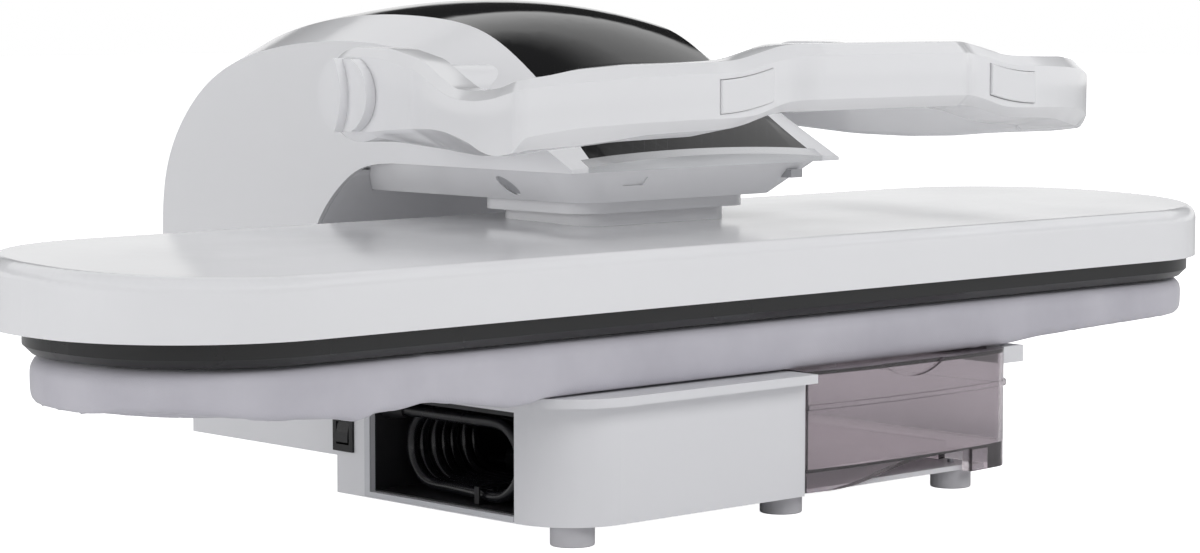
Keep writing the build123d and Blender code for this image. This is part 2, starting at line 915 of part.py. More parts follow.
def switch_front():
    """The switch stands a little behind the bay."""
    return bay_rear + switch_from_bay


def switch_bezel():
    """The black frame of the rocker switch."""
    y = (switch_front(), switch_front() + switch_width)
    z = (switch_bottom, switch_bottom + switch_height)
    face = block((base_left - switch_proud, base_left), y, z)
    body = block(
        (base_left, base_left + switch_depth),
        (y[0] + thin_wall + seat_gap, y[1] - thin_wall - seat_gap),
        (z[0] + thin_wall + seat_gap, z[1] - thin_wall - seat_gap),
    )
    _, rocker_y, rocker_z = rocker_centre()
    hole = rod_y(rocker_half_height + 0.7, base_left + 3, y[0] + 3.2, y[1] - 3.2, rocker_z)
    return face + body - hole


def rocker_centre():
    """The rocker's pivot."""
    return base_left + 3, switch_front() + switch_width / 2, switch_bottom + switch_height / 2


def switch_rocker():
    """The rocker: a shallow V on a round body, tilted to its off side."""
    x, y, z = rocker_centre()
    drum = rod_y(rocker_half_height, x, y - switch_width / 2 + 3.7, y + switch_width / 2 - 3.7, z)
    depth = rocker_half_height * tan(radians(rocker_tilt))
    front = x - 5.0
    v_face = Polyline(
        (front + depth, z - 12), (front, z), (front + depth, z + 12),
        (x + 20, z + 12), (x + 20, z - 12), (front + depth, z - 12),
    )
    keep = front_prism(make_face(v_face), y - switch_width / 2, y + switch_width / 2)
    rocker = drum & keep
    tilt = Pos(x, y, z) * Rot(0, rocker_tilt, 0) * Pos(-x, -y, -z)
    return tilt * rocker


def tank_rear():
    """The tank stops short of the base's rear body."""
    return base_box_depth - tank_rear_gap


def tank_plan(inset):
    """Plan of the tank, with a bowed front and a round right front corner."""
    left = tank_left + inset
    right = tank_right - inset
    front = tank_front + inset
    rear = tank_rear() - inset
    radius = tank_side_radius - inset
    bow_x = (left + right - radius) / 2
    turn = radius * (1 - cos(pi / 4))
    front_line = ThreePointArc((left, front), (bow_x, front - tank_bow), (right - radius, front))
    corner = ThreePointArc((right - radius, front), (right - turn, front + turn), (right, front + radius))
    sides = Polyline((right, front + radius), (right, rear), (left, rear), (left, front))
    return make_face(front_line + corner + sides)


def arch_cutter(y0, y1):
    """What is cut from the tank's lower front: a slow rise to a square right end."""
    rise = Spline(
        (arch_left, tank_rest), ((arch_left + arch_right) / 2, arch_top - 2.5), (arch_right, arch_top),
        tangents=((1, 0), (1, 0.05)),
    )
    low = Polyline((arch_right, arch_top), (arch_right, 0), (tank_left - 5, 0), (tank_left - 5, tank_rest),
                   (arch_left, tank_rest))
    return front_prism(make_face(rise + low), y0, y1)


def water_tank():
    """The clear lower tank, open at the top, with a channel below for the shelf."""
    shell = plan_prism(tank_plan(0), base_bottom, tank_split)
    shell -= plan_prism(tank_plan(tank_wall), tank_floor, tank_split)
    channel = block(
        (tank_left - 5, shelf_right + 2),
        (shelf_front - 2, tank_rear() + 1),
        (base_bottom - 1, tank_floor - tank_wall),
    )
    shell -= channel
    shell -= arch_cutter(tank_front - 2 * tank_bow, shelf_front + 1)
    for x in (tank_left + tank_left_rib, tank_right - tank_right_rib):
        shell += block((x - 1, x + 1), (tank_rear() - 22, tank_rear() - 1), (tank_floor - 1, tank_split - 4))
        foot_z = (base_bottom + plate_floor + part_gap, tank_floor - 1)
        shell += block((x - 3, x + 3), (shelf_front + 24, tank_rear()), foot_z)
    through = (tank_rear() - 2 * tank_wall, tank_rear() + 1)
    return shell - rod_y(valve_radius + seat_gap, valve_x, through[0], through[1], valve_z)


def tank_lid():
    """The clear lid: walls above the split, a ledge at the split and a finger grip."""
    low = tank_split + seat_gap
    shell = plan_prism(tank_plan(0), low, tank_top)
    ledge = plan_prism(tank_plan(-tank_ledge), low, low + 3)
    ledge &= block((tank_left, tank_right), (tank_front - 3 * tank_bow, tank_rear()), (low, tank_top))
    shell += ledge
    hollow = plan_prism(tank_plan(tank_wall), low - 1, tank_top - tank_wall)
    scoop = Pos(grip_middle, tank_front - tank_bow, tank_top + grip_radius - grip_rise)
    lens = scoop * Rot(90, 0, 0) * Cylinder(grip_radius, 2 * tank_wall)
    return shell - hollow - lens


def tank_valve():
    """The spring valve in the tank's rear wall."""
    z = valve_z
    body = rod_y(valve_radius, valve_x, tank_rear() - tank_wall - 6, tank_rear() + valve_length, z)
    flange = rod_y(valve_radius + 3, valve_x, tank_rear() - tank_wall - 3, tank_rear() - tank_wall, z)
    return body + flange - rod_y(2, valve_x, tank_rear() - 20, tank_rear() + 2 * valve_length, z)


def water_inlet():
    """The socket in the base that the tank's valve plugs into, with its hose tail."""
    front = base_box_depth - wall - 2
    rear = front + 22
    body = rod_y(socket_radius, valve_x, front, rear, valve_z)
    body += rod_y(socket_radius + 3, valve_x, base_box_depth, base_box_depth + 2, valve_z)
    body += rod_y(hose_bore + 1, valve_x, rear - 1, rear + 12, valve_z)
    body -= rod_y(seal_radius, valve_x, front - 1, rear - 6, valve_z)
    return body - rod_y(1.5, valve_x, rear - 10, rear + 14, valve_z)


def inlet_seal():
    """The rubber ring in the socket."""
    y = base_box_depth - wall
    ring = rod_y(seal_radius, valve_x, y, y + 3, valve_z)
    return ring - rod_y(valve_radius + run_gap, valve_x, y - 1, y + 4, valve_z)


def pump_place():
    """The pump's left end, its middle in Y and its middle in Z."""
    return valve_x - pump_foot_x, base_box_depth + pump_from_box, rear_bottom + plate_floor + pump_radius + 3


def riser_y():
    """Where the hose rises, in front of the rear wall."""
    return rear_end - riser_from_rear


def water_pump():
    """The pump in the rear body, on a flat foot."""
    x0, y, z = pump_place()
    body = rod_x(pump_radius, x0, x0 + pump_length, y, z)
    foot_z = (rear_bottom + plate_floor, z)
    body += block((x0 + 5, x0 + pump_length - 5), (y - 12, y + 12), foot_z)
    return body + rod_x(6, x0 - 16, x0 + 1, y, z)


def pump_hose():
    """The hose from the pump up to the hinge."""
    x0, y, z = pump_place()
    path = FilletPolyline(
        (x0 - 16, y, z), (riser_x, y, z), (riser_x, riser_y(), z), (riser_x, riser_y(), hinge_z - 12),
        radius=[9, 12],
    )
    plane = Plane(path @ 0, z_dir=path % 0)
    return sweep(plane * Circle(hose_radius), path) - sweep(plane * Circle(hose_bore), path)


def power_board():
    """The power board on its side of the rear body, with its larger parts."""
    x = (circuit_left, circuit_left + circuit_length)
    rear = rear_end - circuit_from_rear
    y = (rear - circuit_width, rear)
    z = rear_bottom + plate_floor + 8
    board = block(x, y, (z, z + circuit_thickness))
    for dx, dy, w, d, h in circuit_parts:
        board += block((x[0] + dx, x[0] + dx + w), (y[0] + dy, y[0] + dy + d), (z + 1, z + h))
    for dx in (6, circuit_length - 6):
        for dy in (6, circuit_width - 6):
            board += rod_z(3, x[0] + dx, y[0] + dy, rear_bottom + plate_floor, z + 0.5)
    return board


def bracket_front():
    """The hinge bracket reaches forward to just behind the pump."""
    return pump_place()[1] + pump_radius + bracket_gap


def hinge_bracket():
    """Two steel cheeks that stand in the rear body and carry the hinge pin."""
    low = rear_bottom + plate_floor
    cheeks = []
    for x in (-bracket_x, bracket_x):
        xs = (x - bracket_plate / 2, x + bracket_plate / 2)
        top = rod_x(hinge_boss_radius, xs[0], xs[1], hinge_y, hinge_z)
        rear = rear_end - wall - 2 * seat_gap
        base = block(xs, (bracket_front(), rear), (low, rear_top + 6))
        rise = Polyline(
            (bracket_front(), rear_top), (hinge_y - hinge_boss_radius, hinge_z + 4),
            (hinge_y + 6, hinge_z - hinge_boss_radius + 2), (rear, rear_top),
            (bracket_front(), rear_top),
        )
        cheek = top + base + side_prism(make_face(rise), xs[0], xs[1])
        side = 1 if x > 0 else -1
        inner = (x - side * 18, x)
        cheek += block((min(inner), max(inner)), (bracket_front(), rear), (low, low + 4))
        cheeks.append(cheek - rod_x(hinge_pin_radius, xs[0] - 1, xs[1] + 1, hinge_y, hinge_z))
    return cheeks


def lug_x():
    """Inner face of each of the arm's plates, outside the bracket."""
    return bracket_x + bracket_plate / 2 + lug_gap


def hinge_pin():
    """The pin through the bracket and the arm's plates, with a head at each end."""
    end = lug_x() + lug_plate + 2
    pin = rod_x(hinge_pin_radius, -end, end, hinge_y, hinge_z)
    for side in (-1, 1):
        pin += rod_x(hinge_pin_radius + 3, side * end - 1.5, side * end + 1.5, hinge_y, hinge_z)
    return pin


def hinge_bushes():
    """The flanged bush in each of the arm's plates."""
    bushes = []
    for side in (-1, 1):
        face = (side * lug_x(), side * (lug_x() + lug_plate))
        bush = rod_x(hinge_bush_radius, min(face), max(face), hinge_y, hinge_z)
        bore = rod_x(hinge_pin_radius + run_gap, min(face) - 1, max(face) + 1, hinge_y, hinge_z)
        bushes.append(bush - bore)
    return bushes


def lift_springs():
    """The two wound lift springs on the pin, as sleeves."""
    inner = bracket_x - bracket_plate / 2 - 1
    springs = []
    for side in (-1, 1):
        ends = (side * 6.0, side * inner)
        sleeve = rod_x(spring_radius, min(ends), max(ends), hinge_y, hinge_z)
        springs.append(sleeve - rod_x(hinge_pin_radius, min(ends) - 1, max(ends) + 1, hinge_y, hinge_z))
    return springs


def inset_line(line, depth):
    """The same side outline, moved in toward the middle of the hood."""
    moved = []
    for y, z in line:
        dy = hood_middle[0] - y
        dz = hood_middle[1] - z
        share = depth / hypot(dy, dz)
        moved.append((y + dy * share, z + dz * share))
    return moved


def outline_spline(line):
    """A side outline as one smooth curve that ends straight down at the rear."""
    rise = (line[1][0] - line[0][0], line[1][1] - line[0][1])
    return Spline(*line, tangents=(rise, (0, -1)))


def arch_curve():
    """The arch under the rear of the hood, from its foot up to the arm's rim."""
    return Spline(*arch_line, tangents=((-0.3, 1), (-1, 0.04)))


def arch_panel():
    """The white panel that closes the arch between the hood's sides."""
    behind = Polyline(arch_line[-1], (hood_rear, rim_level), (hood_rear, hood_bottom), arch_line[0])
    half = hood_half_width - wall - part_gap
    form = side_prism(make_face(arch_curve() + behind), -half, half)
    skin = form - Pos(0, soffit_thickness, 0) * form
    room = block((-half, half), (arch_front_y, hood_rear), (hood_bottom, soffit_top))
    return (skin & room) - pan_form(-part_gap)


def hood_side_face(line):
    """Side view of the hood with its rim, its arch behind the plate and its lower edge."""
    arch = arch_curve()
    low = Line(line[-1], (arch_foot_y, hood_bottom))
    rim = Polyline((arch_front_y, rim_level), (line[0][0], rim_level), line[0])
    return make_face(outline_spline(line) + low + arch + rim)


def open_face(line, depth):
    """Side view of the room under an outline, open below."""
    inner = inset_line(line, depth)
    low = Polyline(inner[-1], (inner[-1][0], hood_bottom - 40), (inner[0][0], hood_bottom - 40), inner[0])
    return make_face(outline_spline(inner) + low)


def at_x(face, x):
    """A side view placed at an X position."""
    return Plane.YZ.offset(x) * face


def hood_half(side):
    """One side of the hood: a flat cheek with a sloped shoulder, hollow inside."""
    outer = loft([
        at_x(hood_side_face(strip_line), side * strip_half_width),
        at_x(hood_side_face(side_line), side * hood_half_width),
    ], ruled=True)
    room = loft([
        at_x(open_face(strip_line, wall), side * (strip_half_width - 1)),
        at_x(open_face(side_line, wall), side * (hood_half_width - wall)),
    ], ruled=True)
    ends = sorted((side * strip_half_width, side * (hood_half_width + 1)))
    return outer - room - rod_x(bush_radius + seat_gap, ends[0], ends[1], handle_y, handle_z)


def strip_form():
    """The crowned middle of the hood, between the strip's edges."""
    outer = loft([
        at_x(hood_side_face(strip_line), -strip_half_width),
        at_x(hood_side_face(crest_line), 0),
        at_x(hood_side_face(strip_line), strip_half_width),
    ])
    return outer - side_prism(open_face(strip_line, wall), -hood_half_width, hood_half_width)


def panel_plan():
    """Plan of the control panel, wider at its front edge."""
    return make_face(Polyline(
        (-strip_half_width, panel_top_y), (-panel_half_width, panel_front_y),
        (panel_half_width, panel_front_y), (strip_half_width, panel_top_y),
        (-strip_half_width, panel_top_y),
    ))


def hood_pieces():
    """The two white sides, the black strip, the control panel and the trim at its front."""
    left = hood_half(-1)
    right = hood_half(1)
    middle = strip_form()
    panel = plan_prism(panel_plan(), rim_level, handle_z + cut_height)
    panel_side_left = left & panel
    panel_side_right = right & panel
    front = block((-strip_half_width - 20, strip_half_width + 20), (tip_y - 5, panel_front_y),
                  (rim_level, handle_z))
    strip = middle & block((-200, 200), (panel_top_y, hood_rear + 1), (0, 400))
    control = (middle & panel) + panel_side_left + panel_side_right
    nose = block((-hood_half_width, hood_half_width), (tip_y - 5, panel_front_y), (rim_level, handle_z))
    trim = (middle & nose) + ((left & nose) & front) + ((right & nose) & front)
    return {
        "hood_side_left": left - panel - front,
        "hood_side_right": right - panel - front,
        "hood_strip": strip,
        "control_panel": control,
        "panel_trim": trim,
    }


def panel_slope():
    """Angle of the control panel's middle above level, in degrees."""
    rise = crest_line[1][1] - crest_line[0][1]
    run = crest_line[1][0] - crest_line[0][0]
    return degrees(atan2(rise, run))


def key_place(index):
    """Where a key's middle is on the panel and which way it points."""
    x = (index - 1) * key_pitch
    share = (key_y - crest_line[0][0]) / (crest_line[1][0] - crest_line[0][0])
    z = crest_line[0][1] + share * (crest_line[1][1] - crest_line[0][1])
    return Pos(x, key_y, z) * Rot(panel_slope(), 0, 0)


def panel_key(index):
    """One round key, standing a little proud of the panel, which bows above its chord here."""
    middle = key_proud + key_bow - key_depth / 2
    return key_place(index) * Pos(0, 0, middle) * Cylinder(key_radius, key_depth)


def key_holes():
    """The three holes in the panel."""
    hole = Cylinder(key_radius + part_gap, cut_height)
    return [key_place(n) * hole for n in range(3)]


def pan_form(inset):
    """The arm's lower shell as a solid: narrow below, wide at its rim."""
    low = RectangleRounded(
        2 * (pan_half_width - inset), pan_rear - pan_front - inset, pan_low_radius - inset)
    high = RectangleRounded(
        2 * (pan_top_half_width - inset), pan_rear - pan_top_front - inset, pan_high_radius - inset)
    return loft([
        Pos(0, (pan_front + inset + pan_rear) / 2, pan_bottom + inset) * low,
        Pos(0, (pan_top_front + inset + pan_rear) / 2, rim_level) * high,
    ], ruled=True)


def port_bore(side, radius):
    """A round bar through one side wall of the arm's lower shell."""
    middle = side * (pan_half_width + pan_top_half_width) / 2
    reach = 4 * pan_wall
    return rod_x(radius, middle - reach, middle + reach, pan_port_y, pan_port_z)


def arm_underpan():
    """The arm's lower shell, with its catch window, side ports and collar hole."""
    pan = pan_form(0) - pan_form(pan_wall)
    pan -= block(
        (-pedestal_half_width - 1, pedestal_half_width + 1),
        (pedestal_front - 1, pedestal_rear + 1),
        (pan_bottom - 1, pan_bottom + 2 * pan_wall),
    )
    window = block((window_left, window_right), (pan_top_front - 5, pan_front + 5), (window_low, window_high))
    pan -= window - pan_form(window_depth)
    for side in (-1, 1):
        pan -= port_bore(side, pan_port_radius)
    return pan


def port_caps():
    """The grey cap set back in each side port."""
    room = pan_form(port_recess) - pan_form(pan_wall)
    return [port_bore(side, pan_port_radius - seat_gap) & room for side in (-1, 1)]


def catch_tab():
    """The small grey catch at the front of the arm."""
    y = pan_top_front + 1.5
    return block((catch_left, catch_right), (y - 1, y + 9), (window_low, window_high)) - pan_form(0)


def arm_collar():
    """The flat collar under the arm that the pedestal slides in."""
    levels = (collar_bottom, pan_bottom)
    ring = rounded_block(
        (-collar_half_width, collar_half_width), (collar_front, collar_rear), levels, collar_radius)
    return ring - rounded_block(
        (-pedestal_half_width - slide_gap, pedestal_half_width + slide_gap),
        (pedestal_front - slide_gap, pedestal_rear + slide_gap),
        (collar_bottom - 1, pan_bottom + 1),
        pedestal_radius + slide_gap,
    )


def arm_frame():
    """The steel frame in the arm: two plates from the hinge to the shaft, and their ties."""
    face = make_face(Polyline(
        (pan_top_front + 45, rim_level + 3), (pan_top_front + 45, rim_level + 20),
        (handle_y - 8, handle_z + 13), (hinge_y - 10, handle_z + 14), (hinge_y + 20, handle_z - 10),
        (hinge_y + hinge_boss_radius, hinge_z), (hinge_y - hinge_boss_radius, hinge_z),
        (hinge_y - hinge_boss_radius, rim_level + 3), (pan_top_front + 45, rim_level + 3),
    ))
    frame = []
    for side in (-1, 1):
        x = sorted((side * lug_x(), side * (lug_x() + lug_plate)))
        plate = side_prism(face, x[0], x[1])
        plate += rod_x(hinge_boss_radius, x[0], x[1], hinge_y, hinge_z)
        plate -= rod_x(hinge_bush_radius, x[0] - 1, x[1] + 1, hinge_y, hinge_z)
        frame.append(plate - rod_x(bush_radius, x[0] - 1, x[1] + 1, handle_y, handle_z))
    tie_places = (pan_top_front + 56, hinge_y - 80)
    ties = [rod_x(7, -lug_x() - 1, lug_x() + 1, y, rim_level + 20) for y in tie_places]
    return frame[0] + frame[1] + ties[0] + ties[1]


def side_boss(side):
    """The white boss that runs from the hood's sloped shoulder out to the handle's hub."""
    ends = sorted((side * strip_half_width, side * (hub_inner - slide_gap)))
    boss = rod_x(boss_radius, ends[0], ends[1], handle_y, handle_z) - hood_half(side)
    boss -= rod_x(bush_radius, ends[0] - 1, ends[1] + 1, handle_y, handle_z)
    return boss.solids().sort_by(lambda solid: side * solid.center().X)[-1]


def shaft_bush(side):
    """One long bush, through the boss and the arm's plate."""
    ends = sorted((side * lug_x(), side * (hub_inner - slide_gap)))
    bush = rod_x(bush_radius, ends[0], ends[1], handle_y, handle_z)
    return bush - rod_x(shaft_radius + run_gap, ends[0] - 1, ends[1] + 1, handle_y, handle_z)


def cam_shaft():
    """The shaft between the hubs, bored at its ends for the knobs."""
    shaft = rod_x(shaft_radius, -hub_outer, hub_outer, handle_y, handle_z)
    for side in (-1, 1):
        ends = sorted((side * (hub_outer - knob_stub_length - 1), side * (hub_outer + 1)))
        shaft -= rod_x(knob_stub_radius + run_gap, ends[0], ends[1], handle_y, handle_z)
    return shaft


def press_cam():
    """The cam that presses the plate down while the handle is down."""
    y = handle_y - cam_offset * sin(radians(cam_start))
    z = handle_z - cam_offset * cos(radians(cam_start))
    cam = rod_x(cam_radius, -cam_half_width, cam_half_width, y, z)
    cam += rod_x(shaft_radius + 4, -cam_half_width - 3, cam_half_width + 3, handle_y, handle_z)
    return cam - rod_x(shaft_radius, -cam_half_width - 4, cam_half_width + 4, handle_y, handle_z)


def flare_x(y):
    """Outer face of an arm, which flares out from the hub to the corner."""
    return hub_outer + (corner_x - hub_outer) * (flare_y - y) / (flare_y - corner_y)


def bow_point(start, end, bow):
    """The middle of a shallow arc between two points, pushed forward and out by its bow."""
    along = Vector(end[0] - start[0], end[1] - start[1]).normalized()
    middle = ((start[0] + end[0]) / 2, (start[1] + end[1]) / 2)
    return middle[0] + along.Y * bow, middle[1] - along.X * bow


def handle_plan():
    """Plan of the handle: two flared arms, a bowed stretch to each elbow and the grip bar."""
    halves = []
    back = handle_y
    for side in (1, -1):
        elbow = (elbow_x, bar_front)
        corner = (corner_x, corner_y)
        inner_elbow = (elbow_x - 7, bar_front + arm_thickness)
        inner_y = corner_y + arm_thickness - 5
        inner_corner = (flare_x(inner_y) - arm_thickness, inner_y)
        outer_bow = ThreePointArc(elbow, bow_point(elbow, corner, bar_bow), corner)
        inner_bow = ThreePointArc(inner_corner, bow_point(inner_elbow, inner_corner, bar_bow), inner_elbow)
        grip = grip_half_width
        outer = Polyline((0, grip_front), (grip, grip_front), (grip + grip_blend, bar_front), elbow)
        arm = Polyline(corner, (hub_outer, flare_y), (hub_outer, back), (hub_inner, back),
                       (hub_inner, flare_y), inner_corner)
        inner_grip = grip - grip_inner_step
        inner = Polyline(
            inner_elbow, (inner_grip + grip_blend, bar_front + arm_thickness),
            (inner_grip, grip_front + arm_thickness), (0, grip_front + arm_thickness), (0, grip_front),
        )
        half = make_face(outer + outer_bow + arm + inner_bow + inner)
        tip = half.vertices().sort_by(lambda v: abs(v.X - corner_x) + abs(v.Y - corner_y))[0]
        half = fillet(tip, corner_radius)
        halves.append(half if side == 1 else mirror(half, Plane.YZ))
    return halves


def arm_side_face(low_line):
    """Side view of the handle's arms, over a given lower outline."""
    top = Spline(*arm_top_line, tangents=((-1, 0), (-1, 0.25)))
    low = Spline(*low_line, tangents=((1, -0.1), (1, -0.25)))
    ends = Line(arm_top_line[-1], low_line[0]) + Line(low_line[-1], arm_top_line[0])
    return make_face(top + low + ends)


def arm_form(side):
    """One arm before its plan is cut: its underside slopes up from its inner to its outer edge."""
    inner_x = hub_inner - 5
    outer_x = hub_outer + 3
    far_x = corner_x + 5
    inner = arm_side_face(arm_inner_low_line)
    outer = arm_side_face(arm_outer_low_line)
    return loft([
        at_x(inner, side * inner_x), at_x(outer, side * outer_x), at_x(outer, side * far_x),
    ], ruled=True)


def bar_front_face():
    """Front view of the bar, with its raised grip in the middle."""
    right = [(0, bar_low_line[0][1])] + list(bar_low_line) + list(reversed(bar_top_line)) + [(0, grip_top)]
    return make_face(Polyline(*right, right[0]))


def core_route():
    """The steel rod inside the handle."""
    half = [
        (0, grip_front + 16, 257), (elbow_x - 12, bar_front + 15, 250), (corner_x - 23, corner_y + 9, 240),
        (hub_outer + 1, 58, 236), (hub_outer - 15, 122, 246),
    ]
    left = [(-x, y, z) for x, y, z in reversed(half[1:])]
    return FilletPolyline(*left, *half, radius=core_bends + core_bends[-2::-1])


def handle_core():
    """The rod that stiffens the handle."""
    path = core_route()
    return sweep(Plane(path @ 0, z_dir=path % 0) * Circle(core_radius), path)


def button_face(grown):
    """Front view of a button on the right: it follows the bar's dip, and can be grown all round."""
    xs = (button_inner - grown, button_outer + grown)
    lows = (button_inner_low - grown, button_outer_low - grown)
    highs = [low + button_height + 2 * grown for low in lows]
    middle = (xs[0] + xs[1]) / 2
    low = ThreePointArc((xs[0], lows[0]), (middle, sum(lows) / 2 - button_sag), (xs[1], lows[1]))
    high = ThreePointArc((xs[1], highs[1]), (middle, sum(highs) / 2 - button_sag), (xs[0], highs[0]))
    sides = Line((xs[1], lows[1]), (xs[1], highs[1])) + Line((xs[0], highs[0]), (xs[0], lows[0]))
    return make_face(low + high + sides)


def on_side(form, side):
    """A form made on the right, or its mirror image on the left."""
    return form if side == 1 else mirror(form, Plane.YZ)


def button_pocket(side):
    """The pocket in the bar for one button."""
    depth = button_depth - button_proud + button_travel + 0.6
    return on_side(front_prism(button_face(part_gap), bar_front - 2, bar_front + depth), side)


def steam_button(side):
    """One flat button on the bar, worked by a thumb."""
    front = bar_front - button_proud
    key = front_prism(button_face(0), front, front + button_depth)
    key = fillet(key.faces().sort_by(Axis.Y)[0].edges(), 1.2)
    return on_side(key, side)


def handle_frame():
    """The white handle with its hubs."""
    low = handle_z - 2 * hub_radius
    high = handle_z + 2 * hub_radius
    bar = front_prism(bar_front_face(), grip_front - 5, corner_y + arm_thickness / 2)
    handle = None
    for side, plan in zip((1, -1), handle_plan()):
        plan = plan_prism(plan, low, high)
        ends = sorted((side * hub_inner, side * hub_outer))
        half = (plan & arm_form(side)) + (plan & on_side(bar, side))
        half += rod_x(hub_radius, ends[0], ends[1], handle_y, handle_z)
        handle = half if handle is None else handle + half
    handle -= handle_core()
    for side in (-1, 1):
        handle -= button_pocket(side)
        ends = sorted((side * (hub_inner - 1), side * (hub_outer + 1)))
        handle -= rod_x(shaft_radius, ends[0], ends[1], handle_y, handle_z)
    return handle


def side_knob(side):
    """The turn knob on the outside of a hub, with two flats and a bowed finger ridge."""
    base = hub_outer + seat_gap
    ends = sorted((side * base, side * (hub_outer + knob_height)))
    disc = rod_x(knob_radius, ends[0], ends[1], handle_y, handle_z)
    flats = block(
        (ends[0] - 1, ends[1] + 1), (handle_y - 40, handle_y + 40),
        (handle_z - knob_flat, handle_z + knob_flat),
    )
    knob = disc & flats
    ridge = sorted((side * (hub_outer + knob_height - 1), side * (hub_outer + knob_height + knob_ridge)))
    off = knob_lens_radius - knob_lens_half
    lens = rod_x(knob_lens_radius, ridge[0], ridge[1], handle_y - off, handle_z)
    lens &= rod_x(knob_lens_radius, ridge[0], ridge[1], handle_y + off, handle_z)
    knob += lens & rod_x(knob_radius - 1, ridge[0], ridge[1], handle_y, handle_z)
    stub = sorted((side * (hub_outer - knob_stub_length), side * (hub_outer + 1)))
    return knob + rod_x(knob_stub_radius, stub[0], stub[1], handle_y, handle_z)


def solids_of(shape):
    """Every solid of a shape or of a list of shapes."""
    pieces = shape if isinstance(shape, (list, tuple)) else [shape]
    return [solid for piece in pieces for solid in piece.solids()]


def placed(shape):
    """The shape's solids, moved so that the origin is under the middle of the press."""
    moved = [Pos(0, -middle_y, 0) * solid for solid in solids_of(shape)]
    return moved[0] if len(moved) == 1 else Compound(children=moved)


def model():
    """Every node of the press by name."""
    hank, hank_end = hank_route()
    tail, tail_end = tail_route(hank_end)
    print("cord hank", round(sum(e.length for e in hank)), "mm, gap", round(least_gap(hank, cord_radius), 2))
    print("cord tail", round(sum(e.length for e in tail)), "mm, gap", round(least_gap(tail, cord_radius), 2))
    print("cord radii", loop_radius, tail_radius)
    hood = hood_pieces()
    panel = hood.pop("control_panel")
    nodes = {
        "press_cover": press_cover(),
        "press_rim": press_rim(),
        "heater_plate": heater_plate(),
        "heating_element": heating_element(),
        "steam_chamber": steam_chamber(),
        "thermostat": thermostat(),
        "insulation_mat": insulation_mat(),
        "pedestal": pedestal(),
        "press_yoke": press_yoke(),
        "pad_cover": pad_cover(),
        "foam_pad": foam_pad(),
        "board_plate": board_plate(),
        "board_tray": board_tray(),
        "base_housing": base_housing(),
        "base_plate": base_plate(),
        "feet": feet(),
        "foot_screws": foot_screws(),
        "cord_bay_liner": cord_bay_liner(),
        "bay_trim": bay_trim(),
        "mains_cord_hank": tube(hank, cord_radius),
        "mains_cord_tail": tube(tail, cord_radius),
        "mains_plug": mains_plug(tail_end),
        "cord_gland": cord_gland(),
        "cord_tie": cord_tie(),
        "switch_bezel": switch_bezel(),
        "switch_rocker": switch_rocker(),
        "water_tank": water_tank(),
        "tank_lid": tank_lid(),
        "tank_valve": tank_valve(),
        "water_inlet": water_inlet(),
        "inlet_seal": inlet_seal(),
        "water_pump": water_pump(),
        "pump_hose": pump_hose(),
        "power_board": power_board(),
        "hinge_bracket": hinge_bracket(),
        "hinge_pin": hinge_pin(),
        "lift_springs": lift_springs(),
        "control_panel": panel - key_holes(),
        "key_left": panel_key(0),
        "key_middle": panel_key(1),
        "key_right": panel_key(2),
        "arm_underpan": arm_underpan(),
        "arm_caps": port_caps() + [catch_tab()],
        "arm_collar": arm_collar(),
        "arch_panel": arch_panel(),
        "arm_frame": arm_frame(),
        "side_bosses": [side_boss(side) for side in (-1, 1)],
        "arm_bushes": hinge_bushes() + [shaft_bush(side) for side in (-1, 1)],
        "cam_shaft": cam_shaft(),
        "press_cam": press_cam(),
        "handle_frame": handle_frame(),
        "handle_core": handle_core(),
        "steam_button_left": steam_button(-1),
        "steam_button_right": steam_button(1),
        "side_knob_left": side_knob(-1),
        "side_knob_right": side_knob(1),
    }
    return nodes | hood


os.makedirs("parts", exist_ok=True)
for name, shape in model().items():
    export_step(placed(shape), f"parts/{name}.step")
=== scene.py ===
import bpy
import bmesh
import math
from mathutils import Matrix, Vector, noise
from mathutils.bvhtree import BVHTree


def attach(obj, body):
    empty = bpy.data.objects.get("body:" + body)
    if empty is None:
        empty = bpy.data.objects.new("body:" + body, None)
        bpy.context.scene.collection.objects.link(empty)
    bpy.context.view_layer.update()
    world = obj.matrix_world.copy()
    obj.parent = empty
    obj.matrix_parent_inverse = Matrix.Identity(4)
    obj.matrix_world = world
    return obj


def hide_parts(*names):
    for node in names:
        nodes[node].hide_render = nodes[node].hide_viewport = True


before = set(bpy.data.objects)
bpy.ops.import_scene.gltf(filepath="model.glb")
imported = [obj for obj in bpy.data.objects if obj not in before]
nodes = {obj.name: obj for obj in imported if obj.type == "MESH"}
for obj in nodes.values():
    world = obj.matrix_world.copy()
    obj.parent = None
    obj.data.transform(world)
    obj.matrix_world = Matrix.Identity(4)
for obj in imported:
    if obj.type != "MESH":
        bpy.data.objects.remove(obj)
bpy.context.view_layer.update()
scene = bpy.context.scene

# Places are in millimetres, Y measured back from the front edge of the press cover and Z up
# from the table, as in the part's source. at() turns them into the row frame's metres.
MIDDLE_Y = 195.5


def at(x, y, z):
    return Vector((x, y - MIDDLE_Y, z)) / 1000


def srgb(r, g, b):
    """A colour as it looks on screen, 0 to 255, as Blender's linear values."""
    def channel(v):
        v /= 255
        return v / 12.92 if v <= 0.04045 else ((v + 0.055) / 1.055) ** 2.4
    return (channel(r), channel(g), channel(b), 1)


def smooth(a, b, v):
    """0 before a, 1 after b, smooth between."""
    t = min(1, max(0, (v - a) / (b - a)))
    return t * t * (3 - 2 * t)


# Camera

